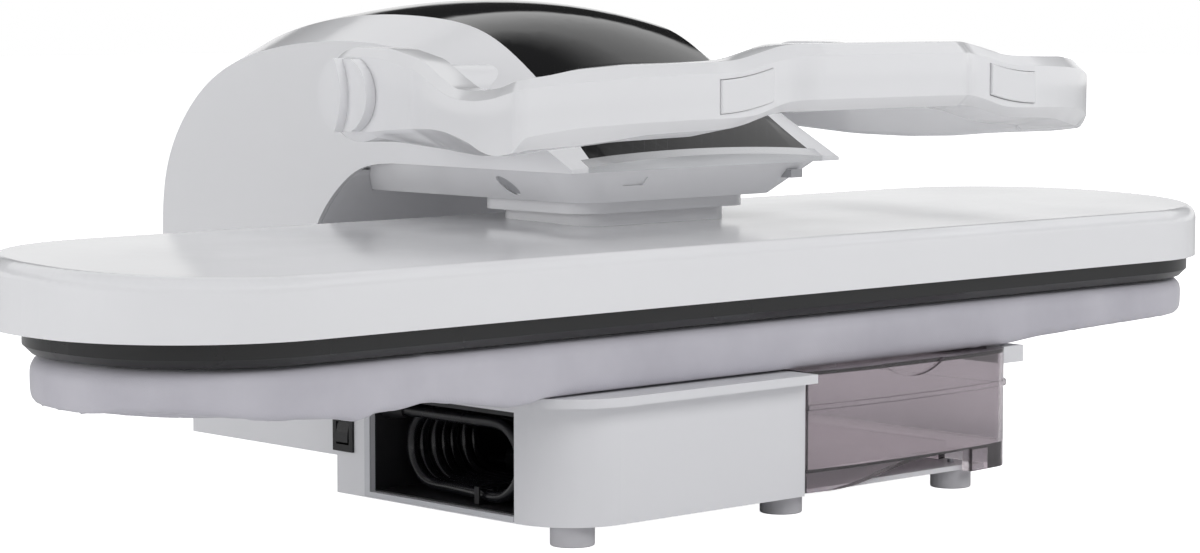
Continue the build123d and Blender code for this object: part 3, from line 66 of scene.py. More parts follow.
def make_camera():
    """The photo's camera."""
    data = bpy.data.cameras.new("Camera")
    data.lens = 96.354
    data.sensor_width = 36
    data.sensor_fit = "HORIZONTAL"
    data.clip_start = 0.05
    data.clip_end = 60
    camera = bpy.data.objects.new("Camera", data)
    camera.location = (-1.34835, -1.46058, 0.30231)
    camera.rotation_euler = (math.radians(85.0), 0, math.radians(-43.31))
    scene.collection.objects.link(camera)
    scene.camera = camera


make_camera()
scene.view_settings.view_transform = "Standard"


# Mains cord: one spline, wound in oval loops that stand in the bay

CORD_RADIUS = 3.4
LOOPS = 7
LOOP_PITCH = 7.8
LOOP_RADIUS = 21.0
LOOP_RUN = 60.0
LOOP_LOW = 21.8
LOOP_FRONT = 75.0
LOOP_X = -166.0
TAIL_SHIFT = 31.4
GLAND_FACE = 151.6
LOOP_TOP = LOOP_LOW + 2 * LOOP_RADIUS
ARC_SHARES = [n / 8 for n in range(9)]
ARC_REACH = 1.02


def half_turn(x0, x1, y, bulge, z_from, z_to):
    """Control points of half a turn that bulges forward or back while it climbs or drops."""
    middle = (z_from + z_to) / 2
    radius = (z_from - z_to) / 2 * ARC_REACH
    points = []
    for share in ARC_SHARES:
        turn = math.pi * share
        x = x0 + (x1 - x0) * share
        points.append((x, y + bulge * abs(radius) * math.sin(turn), middle + radius * math.cos(turn)))
    return points


def loop_top(loop):
    """How high a loop's top run lies, each with its own slack."""
    return LOOP_TOP + (0.9 * math.sin(2.3 * loop + 0.6) + 0.9)


def loop_points():
    """Control points of the wound part: front turn, low run, rear turn and top run of each loop."""
    points = []
    for loop in range(LOOPS):
        x = LOOP_X + loop * LOOP_PITCH
        next_x = x + LOOP_PITCH
        next_top = loop_top(loop + 1)
        front = LOOP_FRONT - 2.2 * math.sin(1.9 * loop + 0.4)
        rear = LOOP_FRONT + LOOP_RUN + (1.7 * math.sin(2.1 * loop) if loop else 0)
        sway = 0.9 * math.sin(1.7 * loop)
        points += half_turn(x, x + sway, front, -1, loop_top(loop) if loop else LOOP_TOP, LOOP_LOW)
        points.append((x + 0.2 * LOOP_PITCH, front + 14, LOOP_LOW))
        points.append((x + 0.5 * LOOP_PITCH, (front + rear) / 2, LOOP_LOW))
        points.append((x + 0.8 * LOOP_PITCH, rear - 14, LOOP_LOW))
        points += half_turn(next_x, next_x, rear, 1, LOOP_LOW, next_top)
        points.append((next_x, rear - 14, next_top))
        if loop < LOOPS - 1:
            points.append((next_x, (front + rear) / 2, next_top - 1.2 * abs(sway)))
            points.append((next_x, front + 16, next_top))
    return points


def tail_points():
    """From the last loop across, down and up to the plug at the rear of the bay."""
    x = LOOP_X + LOOPS * LOOP_PITCH
    far = x + TAIL_SHIFT
    points = [(x + 4, 113, LOOP_TOP + 0.4), (x + 15.7, 102, LOOP_TOP), (far - 4, 91, LOOP_TOP)]
    points += half_turn(far, far, LOOP_FRONT, -1, LOOP_TOP, LOOP_LOW)
    points += [(far, 83, LOOP_LOW + 0.8), (far, 90, LOOP_LOW + 3.2), (far, 97, LOOP_LOW + 4.9),
               (far, 102, LOOP_LOW + 5)]
    return points


def nurbs_cord(name, points, radius):
    """A round cord on one smooth spline."""
    curve = bpy.data.curves.new(name, "CURVE")
    curve.dimensions = "3D"
    curve.resolution_u = 6
    curve.bevel_depth = radius / 1000
    curve.bevel_resolution = 5
    spline = curve.splines.new("NURBS")
    spline.points.add(len(points) - 1)
    for spot, point in zip(spline.points, points):
        spot.co = (*at(*point), 1)
    spline.order_u = 3
    spline.use_endpoint_u = True
    cord = bpy.data.objects.new(name, curve)
    scene.collection.objects.link(cord)
    return cord


def spline_length(cord):
    """Length along the middle of a cord, in metres."""
    depth = cord.data.bevel_depth
    cord.data.bevel_depth = 0
    mesh = bpy.data.meshes.new_from_object(cord)
    cord.data.bevel_depth = depth
    spots = [v.co.copy() for v in mesh.vertices]
    bpy.data.meshes.remove(mesh)
    return sum((b - a).length for a, b in zip(spots, spots[1:]))


cord_route = [(LOOP_X, y, LOOP_TOP) for y in (GLAND_FACE, GLAND_FACE - 12, 122, 106, 90)]
cord_route += loop_points() + tail_points()
mains_cord = nurbs_cord("mains_cord", cord_route, CORD_RADIUS)
cord_length = spline_length(mains_cord)


# Materials

def new_material(name, color, roughness, metallic=0.0):
    """A material and its main shader."""
    material = bpy.data.materials.new(name)
    material.use_nodes = True
    shader = material.node_tree.nodes["Principled BSDF"]
    shader.inputs["Base Color"].default_value = color
    shader.inputs["Roughness"].default_value = roughness
    shader.inputs["Metallic"].default_value = metallic
    material.diffuse_color = color
    return material, shader


def node(material, kind, **values):
    """A new shader node; each value sets an input or else a property."""
    made = material.node_tree.nodes.new(kind)
    for key, value in values.items():
        if key in made.inputs:
            made.inputs[key].default_value = value
        else:
            setattr(made, key, value)
    return made


def link(material, source, target):
    material.node_tree.links.new(source, target)


def coords(material, scale=(1, 1, 1)):
    """Object coordinates, stretched."""
    place = node(material, "ShaderNodeTexCoord")
    mapping = node(material, "ShaderNodeMapping", Scale=scale)
    link(material, place.outputs["Object"], mapping.inputs["Vector"])
    return mapping.outputs["Vector"]


def grain(material, scale, detail=3.0, stretch=(1, 1, 1), distortion=0.0):
    """A noise over the object's own coordinates."""
    texture = node(material, "ShaderNodeTexNoise", Scale=scale, Detail=detail, Distortion=distortion)
    link(material, coords(material, stretch), texture.inputs["Vector"])
    return texture.outputs["Fac"]


def ramp(material, source, low, high, start=0.3, end=0.7):
    """The source, mapped to run from low to high."""
    mapped = node(material, "ShaderNodeMapRange")
    mapped.inputs["From Min"].default_value = start
    mapped.inputs["From Max"].default_value = end
    mapped.inputs["To Min"].default_value = low
    mapped.inputs["To Max"].default_value = high
    link(material, source, mapped.inputs["Value"])
    return mapped.outputs["Result"]


def dimmed(color, share):
    """A darker shade of a colour."""
    return tuple(c * share for c in color[:3]) + (1,)


def blend_colors(material, factor, a, b):
    """From colour a to colour b as the factor rises."""
    mix = node(material, "ShaderNodeMix", data_type="RGBA")
    colors = [i for i in mix.inputs if i.type == "RGBA"]
    colors[0].default_value = a
    colors[1].default_value = b
    link(material, factor, mix.inputs["Factor"])
    return [o for o in mix.outputs if o.type == "RGBA"][0]


def bump(material, height, shader, strength, distance, after=None):
    """Relief from a height, on top of another relief if given, joined to the shader if given."""
    made = node(material, "ShaderNodeBump", Strength=strength, Distance=distance)
    link(material, height, made.inputs["Height"])
    if after is not None:
        link(material, after, made.inputs["Normal"])
    if shader is not None:
        link(material, made.outputs["Normal"], shader.inputs["Normal"])
    return made.outputs["Normal"]


def plastic(name, color, rough, spread=0.05, grain_scale=900.0, grain_strength=0.12, grain_depth=0.00008,
            wave=0.03, tint=0.03, coat=0.0, specular=0.5):
    """Moulded plastic: fine surface grain, a slow waviness, patches of duller gloss and a slight tint."""
    material, shader = new_material(name, color, rough)
    patches = grain(material, 9.0, 4.0)
    link(material, ramp(material, patches, rough - spread, rough + spread), shader.inputs["Roughness"])
    tone = ramp(material, grain(material, 5.0, 5.0), 0, 1)
    link(material, blend_colors(material, tone, dimmed(color, 1 - tint), color), shader.inputs["Base Color"])
    slow = bump(material, grain(material, 14.0, 1.0), None, wave, 0.002)
    bump(material, grain(material, grain_scale, 2.0), shader, grain_strength, grain_depth, slow)
    shader.inputs["Coat Weight"].default_value = coat
    shader.inputs["Coat Roughness"].default_value = 0.06
    shader.inputs["Specular IOR Level"].default_value = specular
    return material


def brushed_metal(name, color, rough, stretch):
    """Metal with fine lines along one way."""
    material, shader = new_material(name, color, rough, 1.0)
    lines = grain(material, 60.0, 6.0, stretch)
    link(material, ramp(material, lines, rough - 0.08, rough + 0.1), shader.inputs["Roughness"])
    tone = ramp(material, lines, 0, 1)
    link(material, blend_colors(material, tone, dimmed(color, 0.88), color), shader.inputs["Base Color"])
    bump(material, lines, shader, 0.12, 0.0002)
    return material


def cloth_material(name, color, dark):
    """Silvery ironing cloth: a fine plain weave with a soft sheen and faint wear."""
    material, shader = new_material(name, color, 0.55)
    warp = node(material, "ShaderNodeTexWave", bands_direction="X", Scale=420.0, Distortion=0.6, Detail=1.0)
    weft = node(material, "ShaderNodeTexWave", bands_direction="DIAGONAL", Scale=330.0, Distortion=0.6,
                Detail=1.0)
    for wave in (warp, weft):
        link(material, coords(material), wave.inputs["Vector"])
    weave = node(material, "ShaderNodeMath", operation="MULTIPLY")
    link(material, warp.outputs["Fac"], weave.inputs[0])
    link(material, weft.outputs["Fac"], weave.inputs[1])
    tone = ramp(material, grain(material, 16.0, 6.0), 0, 1, 0.25, 0.75)
    link(material, blend_colors(material, tone, dark, color), shader.inputs["Base Color"])
    soft = bump(material, grain(material, 40.0, 4.0), None, 0.2, 0.0012)
    bump(material, weave.outputs["Value"], shader, 0.22, 0.00022, soft)
    link(material, ramp(material, grain(material, 22.0, 3.0), 0.42, 0.6), shader.inputs["Roughness"])
    shader.inputs["Sheen Weight"].default_value = 0.35
    shader.inputs["Sheen Roughness"].default_value = 0.4
    shader.inputs["Metallic"].default_value = 0.12
    return material


def clear_plastic(name, color, rough):
    """Tinted clear plastic with a little haze."""
    material, shader = new_material(name, color, rough)
    shader.inputs["Transmission Weight"].default_value = 0.93
    shader.inputs["IOR"].default_value = 1.42
    haze = grain(material, 18.0, 3.0)
    link(material, ramp(material, haze, rough - 0.03, rough + 0.05), shader.inputs["Roughness"])
    tone = ramp(material, grain(material, 7.0, 2.0), 0, 1)
    link(material, blend_colors(material, tone, dimmed(color, 0.9), color), shader.inputs["Base Color"])
    bump(material, grain(material, 30.0, 1.0), shader, 0.05, 0.001)
    return material


def panel_material(name):
    """Black glossy panel with a very fine lattice of diamonds under its surface."""
    material, shader = new_material(name, srgb(18, 18, 20), 0.12)
    place = node(material, "ShaderNodeTexCoord")
    turned = node(material, "ShaderNodeMapping", Rotation=(0, 0, math.radians(45)), Scale=(1, 1, 0.02))
    link(material, place.outputs["Object"], turned.inputs["Vector"])
    cells = node(material, "ShaderNodeTexVoronoi", distance="CHEBYCHEV", feature="F1", Scale=150.0,
                 Randomness=0.0)
    link(material, turned.outputs["Vector"], cells.inputs["Vector"])
    lines = ramp(material, cells.outputs["Distance"], 0, 1, 0.47, 0.5)
    faded = node(material, "ShaderNodeMath", operation="MULTIPLY")
    link(material, lines, faded.inputs[0])
    link(material, ramp(material, grain(material, 28.0, 3.0), 0.15, 1.0), faded.inputs[1])
    link(material, blend_colors(material, faded.outputs["Value"], srgb(14, 14, 16), srgb(66, 66, 70)),
         shader.inputs["Base Color"])
    bump(material, grain(material, 700.0, 2.0), shader, 0.08, 0.0001)
    link(material, ramp(material, grain(material, 9.0, 3.0), 0.09, 0.16), shader.inputs["Roughness"])
    return material


def fibre_material(name, color):
    """Loose fibres or foam."""
    material, shader = new_material(name, color, 0.95)
    strands = grain(material, 180.0, 8.0, (1, 0.25, 1), 1.5)
    tone = ramp(material, strands, 0, 1)
    link(material, blend_colors(material, tone, dimmed(color, 0.6), color), shader.inputs["Base Color"])
    bump(material, strands, shader, 0.7, 0.001)
    return material


# The numbers of a plastic: roughness, its spread, then scale, strength and depth of the grain, waviness
# and tint.
materials = {
    "white_gloss": plastic("White gloss plastic", srgb(238, 238, 240), 0.13, 0.04, 1200.0, 0.05,
                           0.00004, 0.02, 0.015, specular=0.4),
    "white_satin": plastic("White satin plastic", srgb(228, 228, 231), 0.38, 0.06, 1500.0, 0.2,
                           0.00006, 0.02, 0.02),
    "black_trim": plastic("Black trim plastic", srgb(24, 24, 25), 0.3, 0.07, 1400.0, 0.25, 0.00006,
                          0.03, 0.2),
    "plate_aluminium": brushed_metal("Brushed aluminium", srgb(205, 206, 208), 0.32, (0.05, 1, 1)),
    "steel": brushed_metal("Zinc plated steel", srgb(176, 178, 182), 0.34, (1, 0.08, 1)),
    "fibre": fibre_material("Insulating fibre", srgb(214, 206, 184)),
    "pad_cloth": cloth_material("Silver pad cloth", srgb(206, 204, 212), srgb(186, 184, 193)),
    "foam": fibre_material("Pad foam", srgb(222, 216, 196)),
    "grey_rubber": plastic("Grey rubber", srgb(196, 195, 199), 0.6, 0.08, 700.0, 0.4, 0.0001, 0.05,
                           0.06),
    "dark_plastic": plastic("Dark liner plastic", srgb(38, 38, 40), 0.5, 0.08, 900.0, 0.35, 0.0001,
                            0.03, 0.15),
    "light_trim": plastic("Light bead plastic", srgb(206, 207, 211), 0.28, 0.05, 1200.0, 0.12, 0.00006,
                          0.02, 0.03),
    "cord_black": plastic("Black cord sheath", srgb(24, 24, 27), 0.28, 0.08, 1100.0, 0.3, 0.00008, 0.1,
                          0.2),
    "plug_black": plastic("Black moulded rubber", srgb(24, 24, 26), 0.48, 0.08, 1000.0, 0.35, 0.0001,
                          0.05, 0.2),
    "switch_black": plastic("Black switch plastic", srgb(18, 18, 20), 0.2, 0.05, 1300.0, 0.12, 0.00005,
                            0.02, 0.2),
    "tank_clear": clear_plastic("Smoky clear plastic", srgb(222, 214, 219), 0.03),
    "seal_rubber": plastic("Seal rubber", srgb(170, 70, 58), 0.55, 0.08, 900.0, 0.3, 0.0001, 0.05, 0.1),
    "hose_rubber": plastic("Hose rubber", srgb(214, 212, 205), 0.45, 0.08, 900.0, 0.3, 0.0001, 0.05,
                           0.08),
    "circuit_green": plastic("Circuit board", srgb(38, 92, 58), 0.4, 0.1, 260.0, 0.5, 0.0003, 0.05,
                             0.4),
    "bush_brass": brushed_metal("Brass", srgb(196, 164, 96), 0.3, (1, 1, 0.1)),
    "panel_black": panel_material("Black diamond panel"),
    "key_grey": plastic("Grey key plastic", srgb(150, 151, 155), 0.3, 0.06, 1100.0, 0.15, 0.00006,
                        0.02, 0.05),
    "catch_grey": plastic("Grey catch plastic", srgb(176, 177, 180), 0.4, 0.06, 1100.0, 0.2, 0.00006,
                          0.02, 0.05),
    "strip_black": plastic("Black mirror plastic", srgb(14, 14, 16), 0.07, 0.02, 1500.0, 0.03, 0.00003,
                           0.01, 0.2, coat=0.3),
    "trim_silver": brushed_metal("Silver trim", srgb(226, 227, 230), 0.2, (0.1, 1, 1)),
}
for slot_node in nodes.values():
    for index, old in enumerate(list(slot_node.data.materials)):
        slot_name = old.name.split(".")[0] if old is not None else None
        if slot_name in materials:
            slot_node.data.materials[index] = materials[slot_name]


# Edges of moulded pieces are a little round

EDGE_ANGLE = 35


def soften(name, width):
    """Round a node's sharp edges with modifiers, so that they catch the light."""
    edges = nodes[name].modifiers.new("Edges", "BEVEL")
    edges.width = width / 1000
    edges.segments = 2
    edges.limit_method = "ANGLE"
    edges.angle_limit = math.radians(EDGE_ANGLE)
    normals = nodes[name].modifiers.new("Normals", "WEIGHTED_NORMAL")
    normals.keep_sharp = False


for name in ("press_cover", "hood_side_left", "hood_side_right", "arm_underpan", "pedestal", "arm_collar",
             "base_housing", "board_tray", "water_tank", "tank_lid"):
    soften(name, 0.8)
for name in ("control_panel", "panel_trim", "side_knob_left", "side_knob_right", "base_plate", "bay_trim"):
    soften(name, 0.4)


# Mesh helpers

def mesh_object(name, verts, faces, material_slot):
    """A smooth-shaded piece from vertices and faces."""
    mesh = bpy.data.meshes.new(name)
    mesh.from_pydata([tuple(v) for v in verts], [], faces)
    mesh.materials.append(materials[material_slot])
    for face in mesh.polygons:
        face.use_smooth = True
    made = bpy.data.objects.new(name, mesh)
    scene.collection.objects.link(made)
    return made


def outward(made):
    """Face normals out."""
    work = bmesh.new()
    work.from_mesh(made.data)
    bmesh.ops.recalc_face_normals(work, faces=work.faces)
    work.to_mesh(made.data)
    work.free()
    return made


def ring_loft(rings, close_ends=True):
    """Vertices and faces of a tube through rings of the same count."""
    count = len(rings[0])
    verts = [point for ring in rings for point in ring]
    faces = []
    for a in range(len(rings) - 1):
        for i in range(count):
            j = (i + 1) % count
            faces.append((a * count + i, a * count + j, (a + 1) * count + j, (a + 1) * count + i))
    if close_ends:
        faces.append(tuple(range(count)))
        faces.append(tuple((len(rings) - 1) * count + i for i in reversed(range(count))))
    return verts, faces


# Handle: one bent bar. Its heights are tables along the arm (by Y) and along the bar (by X).

HUB_Y = 165.0
HUB_Z = 246.0
HUB_RADIUS = 27.0
HUB_OUTER = 195.0
HUB_INNER = 165.0
FLARE_Y = 112.0
ARM_END = -16.8
ARM_STEPS = 45
CORNER = (237.0, -23.0)
CORNER_RADIUS = 9.0
CORNER_MIDDLE = (226.5, -19.5)
CORNER_TURN = (17.3, -54.2)
CORNER_STEPS = 8
BAR_START = 231.7
BOW_STEPS = 21
ELBOW = (132.0, -67.0)
INNER_CORNER = (199.2, 2.0)
INNER_ELBOW = (125.0, -37.0)
INNER_START = 60.0
INNER_TURN_Y = 5.0
INNER_BAR_START = 196.0
OUTER_REACH = 0.943
INNER_REACH = 0.96
LOW_SHARE = 0.22
BOW = 6.5
BEVEL = 6.3
ARM_BEVEL = 5.3
HUB_TURNS = (86, 78, 69, 60, 51, 42, 33, 24, 16, 8)
GRIP_FRONT = -75.0
GRIP_BLEND = (56, 78)
BAR_PLACES = (129, 126, 122, 117, 112, 107, 102, 97, 92, 88, 84, 80, 76, 72, 68, 64, 60, 56, 52, 44, 34, 22,
              10, 0)
BAR_FRONT = -67.0
BAR_BACK = -37.0
ARM_TOP = ((165, 273), (137, 272.6), (107, 266.0), (82, 257.2), (64, 251.7), (40, 251.2), (20, 252.1),
           (2, 253.7), (-11, 256.3), (-26, 259.4))
ARM_FACE_TOP = ((165, 267.7), (137, 267.0), (107, 260.6), (86, 254.1), (68, 248.8), (51, 246.3),
                (29, 246.0), (9, 247.6), (-22, 252.8))
ARM_FACE_LOW = ((165, 224.0), (137, 226.4), (115, 228.0), (86, 229.1), (68, 228.3), (51, 226.1),
                (34, 223.0), (27, 220.6), (12, 218.0), (0, 218.0), (-16, 220.1), (-26, 221.6))
ARM_INNER_LOW = ((165, 219.0), (133, 216.8), (103, 214.9), (73, 214.1), (44, 215.0), (12, 218.1),
                 (2, 219.4))
BAR_TOP = ((0, 276.2), (71, 276.1), (80, 274.9), (88, 273.3), (97, 271.3), (106, 269.3), (113, 268.0),
           (125, 267.2), (151, 266.5), (182, 266.0), (192, 265.2), (212, 263.6), (226, 260.2),
           (233, 259.4))
BAR_FACE_TOP = ((0, 269.9), (71, 269.8), (88, 266.8), (97, 264.9), (106, 263.0), (115, 261.6),
                (140, 261.2), (180, 259.6), (209, 257.1), (228, 255.0), (237, 252.8))
BAR_FACE_LOW = ((0, 246.0), (64, 245.9), (77, 245.0), (90, 242.0), (98, 239.4), (107, 237.7),
                (120, 237.1), (146, 236.8), (180, 235.5), (209, 233.5), (222, 231.1), (234, 228.4))
BAR_LOW = ((0, 239.6), (72, 239.5), (85, 238.6), (93, 236.8), (106, 233.4), (119, 231.2), (133, 230.6),
           (150, 230.2), (174, 229.0), (194, 226.0), (212, 223.8), (233, 221.9))
BAR_INNER_LOW = ((0, 238.5), (60, 238.0), (80, 236.0), (95, 232.0), (110, 228.5), (125, 226.5),
                 (140, 226.0), (167, 224.5), (183, 222.0), (199, 219.6))


def along(table, y):
    """The height of an outline at y, straight between its points."""
    rows = sorted(table)
    if y <= rows[0][0]:
        return rows[0][1]
    for (y0, z0), (y1, z1) in zip(rows, rows[1:]):
        if y <= y1:
            return z0 + (z1 - z0) * (y - y0) / (y1 - y0)
    return rows[-1][1]


def eased(table, y, span=6.0):
    """The same height, averaged over a short span so that its corners are round."""
    weights = (1, 2, 3, 4, 3, 2, 1)
    total = sum(w * along(table, y + span * k / 3) for w, k in zip(weights, range(-3, 4)))
    return total / sum(weights)


def bowed(a, b, share):
    """A point on the shallow arc from a to b, which bulges forward."""
    dx, dy = b[0] - a[0], b[1] - a[1]
    size = math.hypot(dx, dy)
    rise = BOW * 4 * share * (1 - share)
    return a[0] + dx * share + dy / size * rise, a[1] + dy * share - dx / size * rise


def hub_stations():
    """The round rear of the hub, whose bevel shrinks as it closes."""
    stations = []
    for turn in HUB_TURNS:
        half = HUB_RADIUS * math.cos(math.radians(turn))
        y = HUB_Y + HUB_RADIUS * math.sin(math.radians(turn))
        edge = min(5.0 * math.cos(math.radians(turn)) + 0.3, 0.45 * half)
        top, low = HUB_Z + half, HUB_Z - half
        stations.append(((HUB_OUTER, y), (HUB_INNER, y), edge, top, top - edge, low + edge, low, low))
    return stations


def arm_stations():
    """The arm, from the hub's middle forward to where the corner starts."""
    stations = []
    for n in range(ARM_STEPS + 1):
        y = HUB_Y - (HUB_Y - ARM_END) * n / ARM_STEPS
        flare = max(0, FLARE_Y - y) / (FLARE_Y - CORNER[1])
        outer = (HUB_OUTER + (CORNER[0] - HUB_OUTER) * flare, y)
        inner_y = y
        if y <= INNER_START:
            inner_run = (INNER_START - INNER_TURN_Y) * (INNER_START - y) / (INNER_START - ARM_END)
            inner_y = INNER_START - inner_run
        inner_flare = max(0, FLARE_Y - inner_y) / (FLARE_Y - INNER_CORNER[1])
        inner = (HUB_INNER + (INNER_CORNER[0] - HUB_INNER) * inner_flare, inner_y)
        span = 6.0 if y < 150 else 1.0
        low_out = eased(ARM_FACE_LOW, y, span)
        low_in = eased(ARM_INNER_LOW, inner_y, span)
        slope = low_out + (low_in - low_out) * LOW_SHARE
        low = slope + (low_in - slope) * smooth(140, HUB_Y, y)
        edge = ARM_BEVEL + (BEVEL - ARM_BEVEL) * smooth(HUB_Y, 120, y)
        top, face_top = eased(ARM_TOP, y, span), eased(ARM_FACE_TOP, y, span)
        stations.append((outer, inner, edge, top, face_top, low_out, low, low_in))
    return stations


def corner_stations():
    """Round the corner; the bevel under the bar fades in here."""
    stations = []
    for n in range(1, CORNER_STEPS + 1):
        share = n / CORNER_STEPS
        turn = math.radians(CORNER_TURN[0] + (CORNER_TURN[1] - CORNER_TURN[0]) * share)
        outer = (CORNER_MIDDLE[0] + CORNER_RADIUS * math.cos(turn),
                 CORNER_MIDDLE[1] + CORNER_RADIUS * math.sin(turn))
        inner = (INNER_CORNER[0] - 1.0 + 1.1 * math.sin(math.pi * share) - 1.6 * share,
                 INNER_TURN_Y - 6.5 * share)
        mix = smooth(0, 1, share)
        arm_in, bar_in = eased(ARM_INNER_LOW, INNER_TURN_Y), eased(BAR_INNER_LOW, INNER_BAR_START)
        low_in = arm_in * (1 - share) + bar_in * share
        face_low = eased(ARM_FACE_LOW, ARM_END) * (1 - mix) + eased(BAR_FACE_LOW, BAR_START) * mix
        arm_low = eased(ARM_FACE_LOW, ARM_END) * (1 - LOW_SHARE) + arm_in * LOW_SHARE
        low = arm_low * (1 - mix) + eased(BAR_LOW, BAR_START) * mix
        top = eased(ARM_TOP, ARM_END) * (1 - share) + eased(BAR_TOP, BAR_START) * share
        face_top = eased(ARM_FACE_TOP, ARM_END) * (1 - share) + eased(BAR_FACE_TOP, BAR_START) * share
        stations.append((outer, inner, BEVEL, top, face_top, face_low, low, low_in))
    return stations


def bar_station(outer, inner):
    """One section of the bar."""
    x = outer[0]
    return (outer, inner, BEVEL, eased(BAR_TOP, x), eased(BAR_FACE_TOP, x), eased(BAR_FACE_LOW, x),
            eased(BAR_LOW, x), eased(BAR_INNER_LOW, inner[0]))


def bar_stations():
    """The bowed stretch from the corner to the elbow, then the bar to the middle of the grip."""
    stations = []
    for n in range(1, BOW_STEPS + 1):
        share = 1 - n / BOW_STEPS
        outer = bowed(ELBOW, CORNER, share * OUTER_REACH)
        inner = bowed(INNER_ELBOW, INNER_CORNER, share * INNER_REACH)
        stations.append(bar_station(outer, inner))
    for x in BAR_PLACES:
        grip = 1 - smooth(*GRIP_BLEND, x)
        front = BAR_FRONT + (GRIP_FRONT - BAR_FRONT) * grip
        inner_x = x * INNER_ELBOW[0] / ELBOW[0]
        stations.append(bar_station((x, front), (inner_x, front + BAR_BACK - BAR_FRONT)))
    return stations


def section(station, side):
    """The eight corners of one section of the handle."""
    outer, inner, edge, top, face_top, face_low, low, low_in = station
    step = (Vector(inner) - Vector(outer)).normalized() * edge
    small = step * (2.0 / BEVEL)
    set_out = (outer[0] + step.x, outer[1] + step.y)
    set_in = (inner[0] - step.x, inner[1] - step.y)
    foot_in = (inner[0] - small.x, inner[1] - small.y)
    corners = [
        (*outer, face_top), (*set_out, top), (*set_in, top), (*inner, top - edge),
        (*inner, low_in + edge * 0.3), (*foot_in, low_in), (*set_out, low), (*outer, face_low),
    ]
    return [at(side * x, y, z) for x, y, z in corners]


BUTTON_X = (91.0, 131.0)
BUTTON_LOW = (245.3, 239.6)
BUTTON_HEIGHT = 18.0
BUTTON_SAG = 1.2
BUTTON_GAP = 0.3
POCKET_Y = (-70.0, -60.9)
POCKET_STEPS = 12
BORE_RADIUS = 8.1


def pocket_cutter(side):
    """The room for one flat button, with a little gap round it."""
    lower, upper = [], []
    for n in range(POCKET_STEPS + 1):
        share = n / POCKET_STEPS
        x = BUTTON_X[0] - BUTTON_GAP + (BUTTON_X[1] - BUTTON_X[0] + 2 * BUTTON_GAP) * share
        z = BUTTON_LOW[0] + (BUTTON_LOW[1] - BUTTON_LOW[0]) * share - BUTTON_SAG * 4 * share * (1 - share)
        lower.append((side * x, z - BUTTON_GAP))
        upper.append((side * x, z + BUTTON_HEIGHT + BUTTON_GAP))
    outline = lower + upper[::-1]
    return ring_loft([[at(x, y, z) for x, z in outline] for y in POCKET_Y])


def bore_cutter(side):
    """The bore of one hub."""
    turns = [2 * math.pi * n / 32 for n in range(32)]
    circle = [(HUB_Y + BORE_RADIUS * math.cos(t), HUB_Z + BORE_RADIUS * math.sin(t)) for t in turns]
    return ring_loft([[at(side * x, y, z) for y, z in circle] for x in (HUB_INNER - 3, HUB_OUTER + 3)])


def shaped(piece):
    """A piece's mesh with its modifiers worked in."""
    bpy.context.view_layer.update()
    result = bpy.data.meshes.new_from_object(piece.evaluated_get(bpy.context.evaluated_depsgraph_get()))
    piece.modifiers.clear()
    piece.data = result
    return piece


def make_handle():
    """The bent bar with its button pockets and hub bores."""
    half = hub_stations() + arm_stations() + corner_stations() + bar_stations()
    rings = [section(s, -1) for s in half] + [section(s, 1) for s in reversed(half[:-1])]
    verts, faces = ring_loft(rings)
    handle = outward(mesh_object("handle_body", verts, faces, "white_gloss"))
    edges = handle.modifiers.new("Edges", "BEVEL")
    edges.width = 0.0011
    edges.segments = 3
    edges.limit_method = "ANGLE"
    edges.angle_limit = math.radians(20)
    cutters = []
    for side in (-1, 1):
        for name, form in (("pocket", pocket_cutter(side)), ("bore", bore_cutter(side))):
            cutter = outward(mesh_object(f"{name}_cutter", *form, "white_gloss"))
            cut = handle.modifiers.new("Cut", "BOOLEAN")
            cut.object = cutter
            cut.solver = "EXACT"
            cutters.append(cutter)
    shaped(handle)
    for cutter in cutters:
        bpy.data.objects.remove(cutter)
    handle.data.set_sharp_from_angle(angle=math.radians(40))
    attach(handle, "handle")
    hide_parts("handle_frame")
    return handle


make_handle()


# Cloth cover of the board

PAD_INSET = 15.0
BOARD_HALF = 450.0
BOARD_FRONT = -8.0
BOARD_REAR = 210.0
FRONT_RADIUS = 100.0
REAR_RADIUS = 102.0
FRONT_MIDDLE = BOARD_FRONT + FRONT_RADIUS
REAR_MIDDLE = BOARD_REAR - REAR_RADIUS
CORE_HALF = BOARD_HALF - (FRONT_RADIUS + REAR_RADIUS) / 2
PAD_TOP = 116.5
PAD_LOW = 89.7
PAD_AROUND = 900
FORM_AROUND = 520
FORM_INSET = 1.2
CLOTH_FRAMES = 20
SWELL_LIMIT = 2.0
IN_LIMIT = 0.9
OUT_LIMIT = 2.6
DROP_LIMIT = 0.3
CLOTH_LOW = ((-435, 92.5), (-417, 93.0), (-375, 88.3), (-328, 86.0), (-317.6, 83.4), (-307.6, 86.6),
             (-287.5, 87.4), (-271, 90.2), (-258, 88.0), (-244, 86.5), (-215, 81.5), (-197, 82.0),
             (-187, 84.9), (-150, 85.3), (0, 85.4), (198, 85.4), (212, 86.0), (235, 88.0), (300, 90.0),
             (435, 92.0))


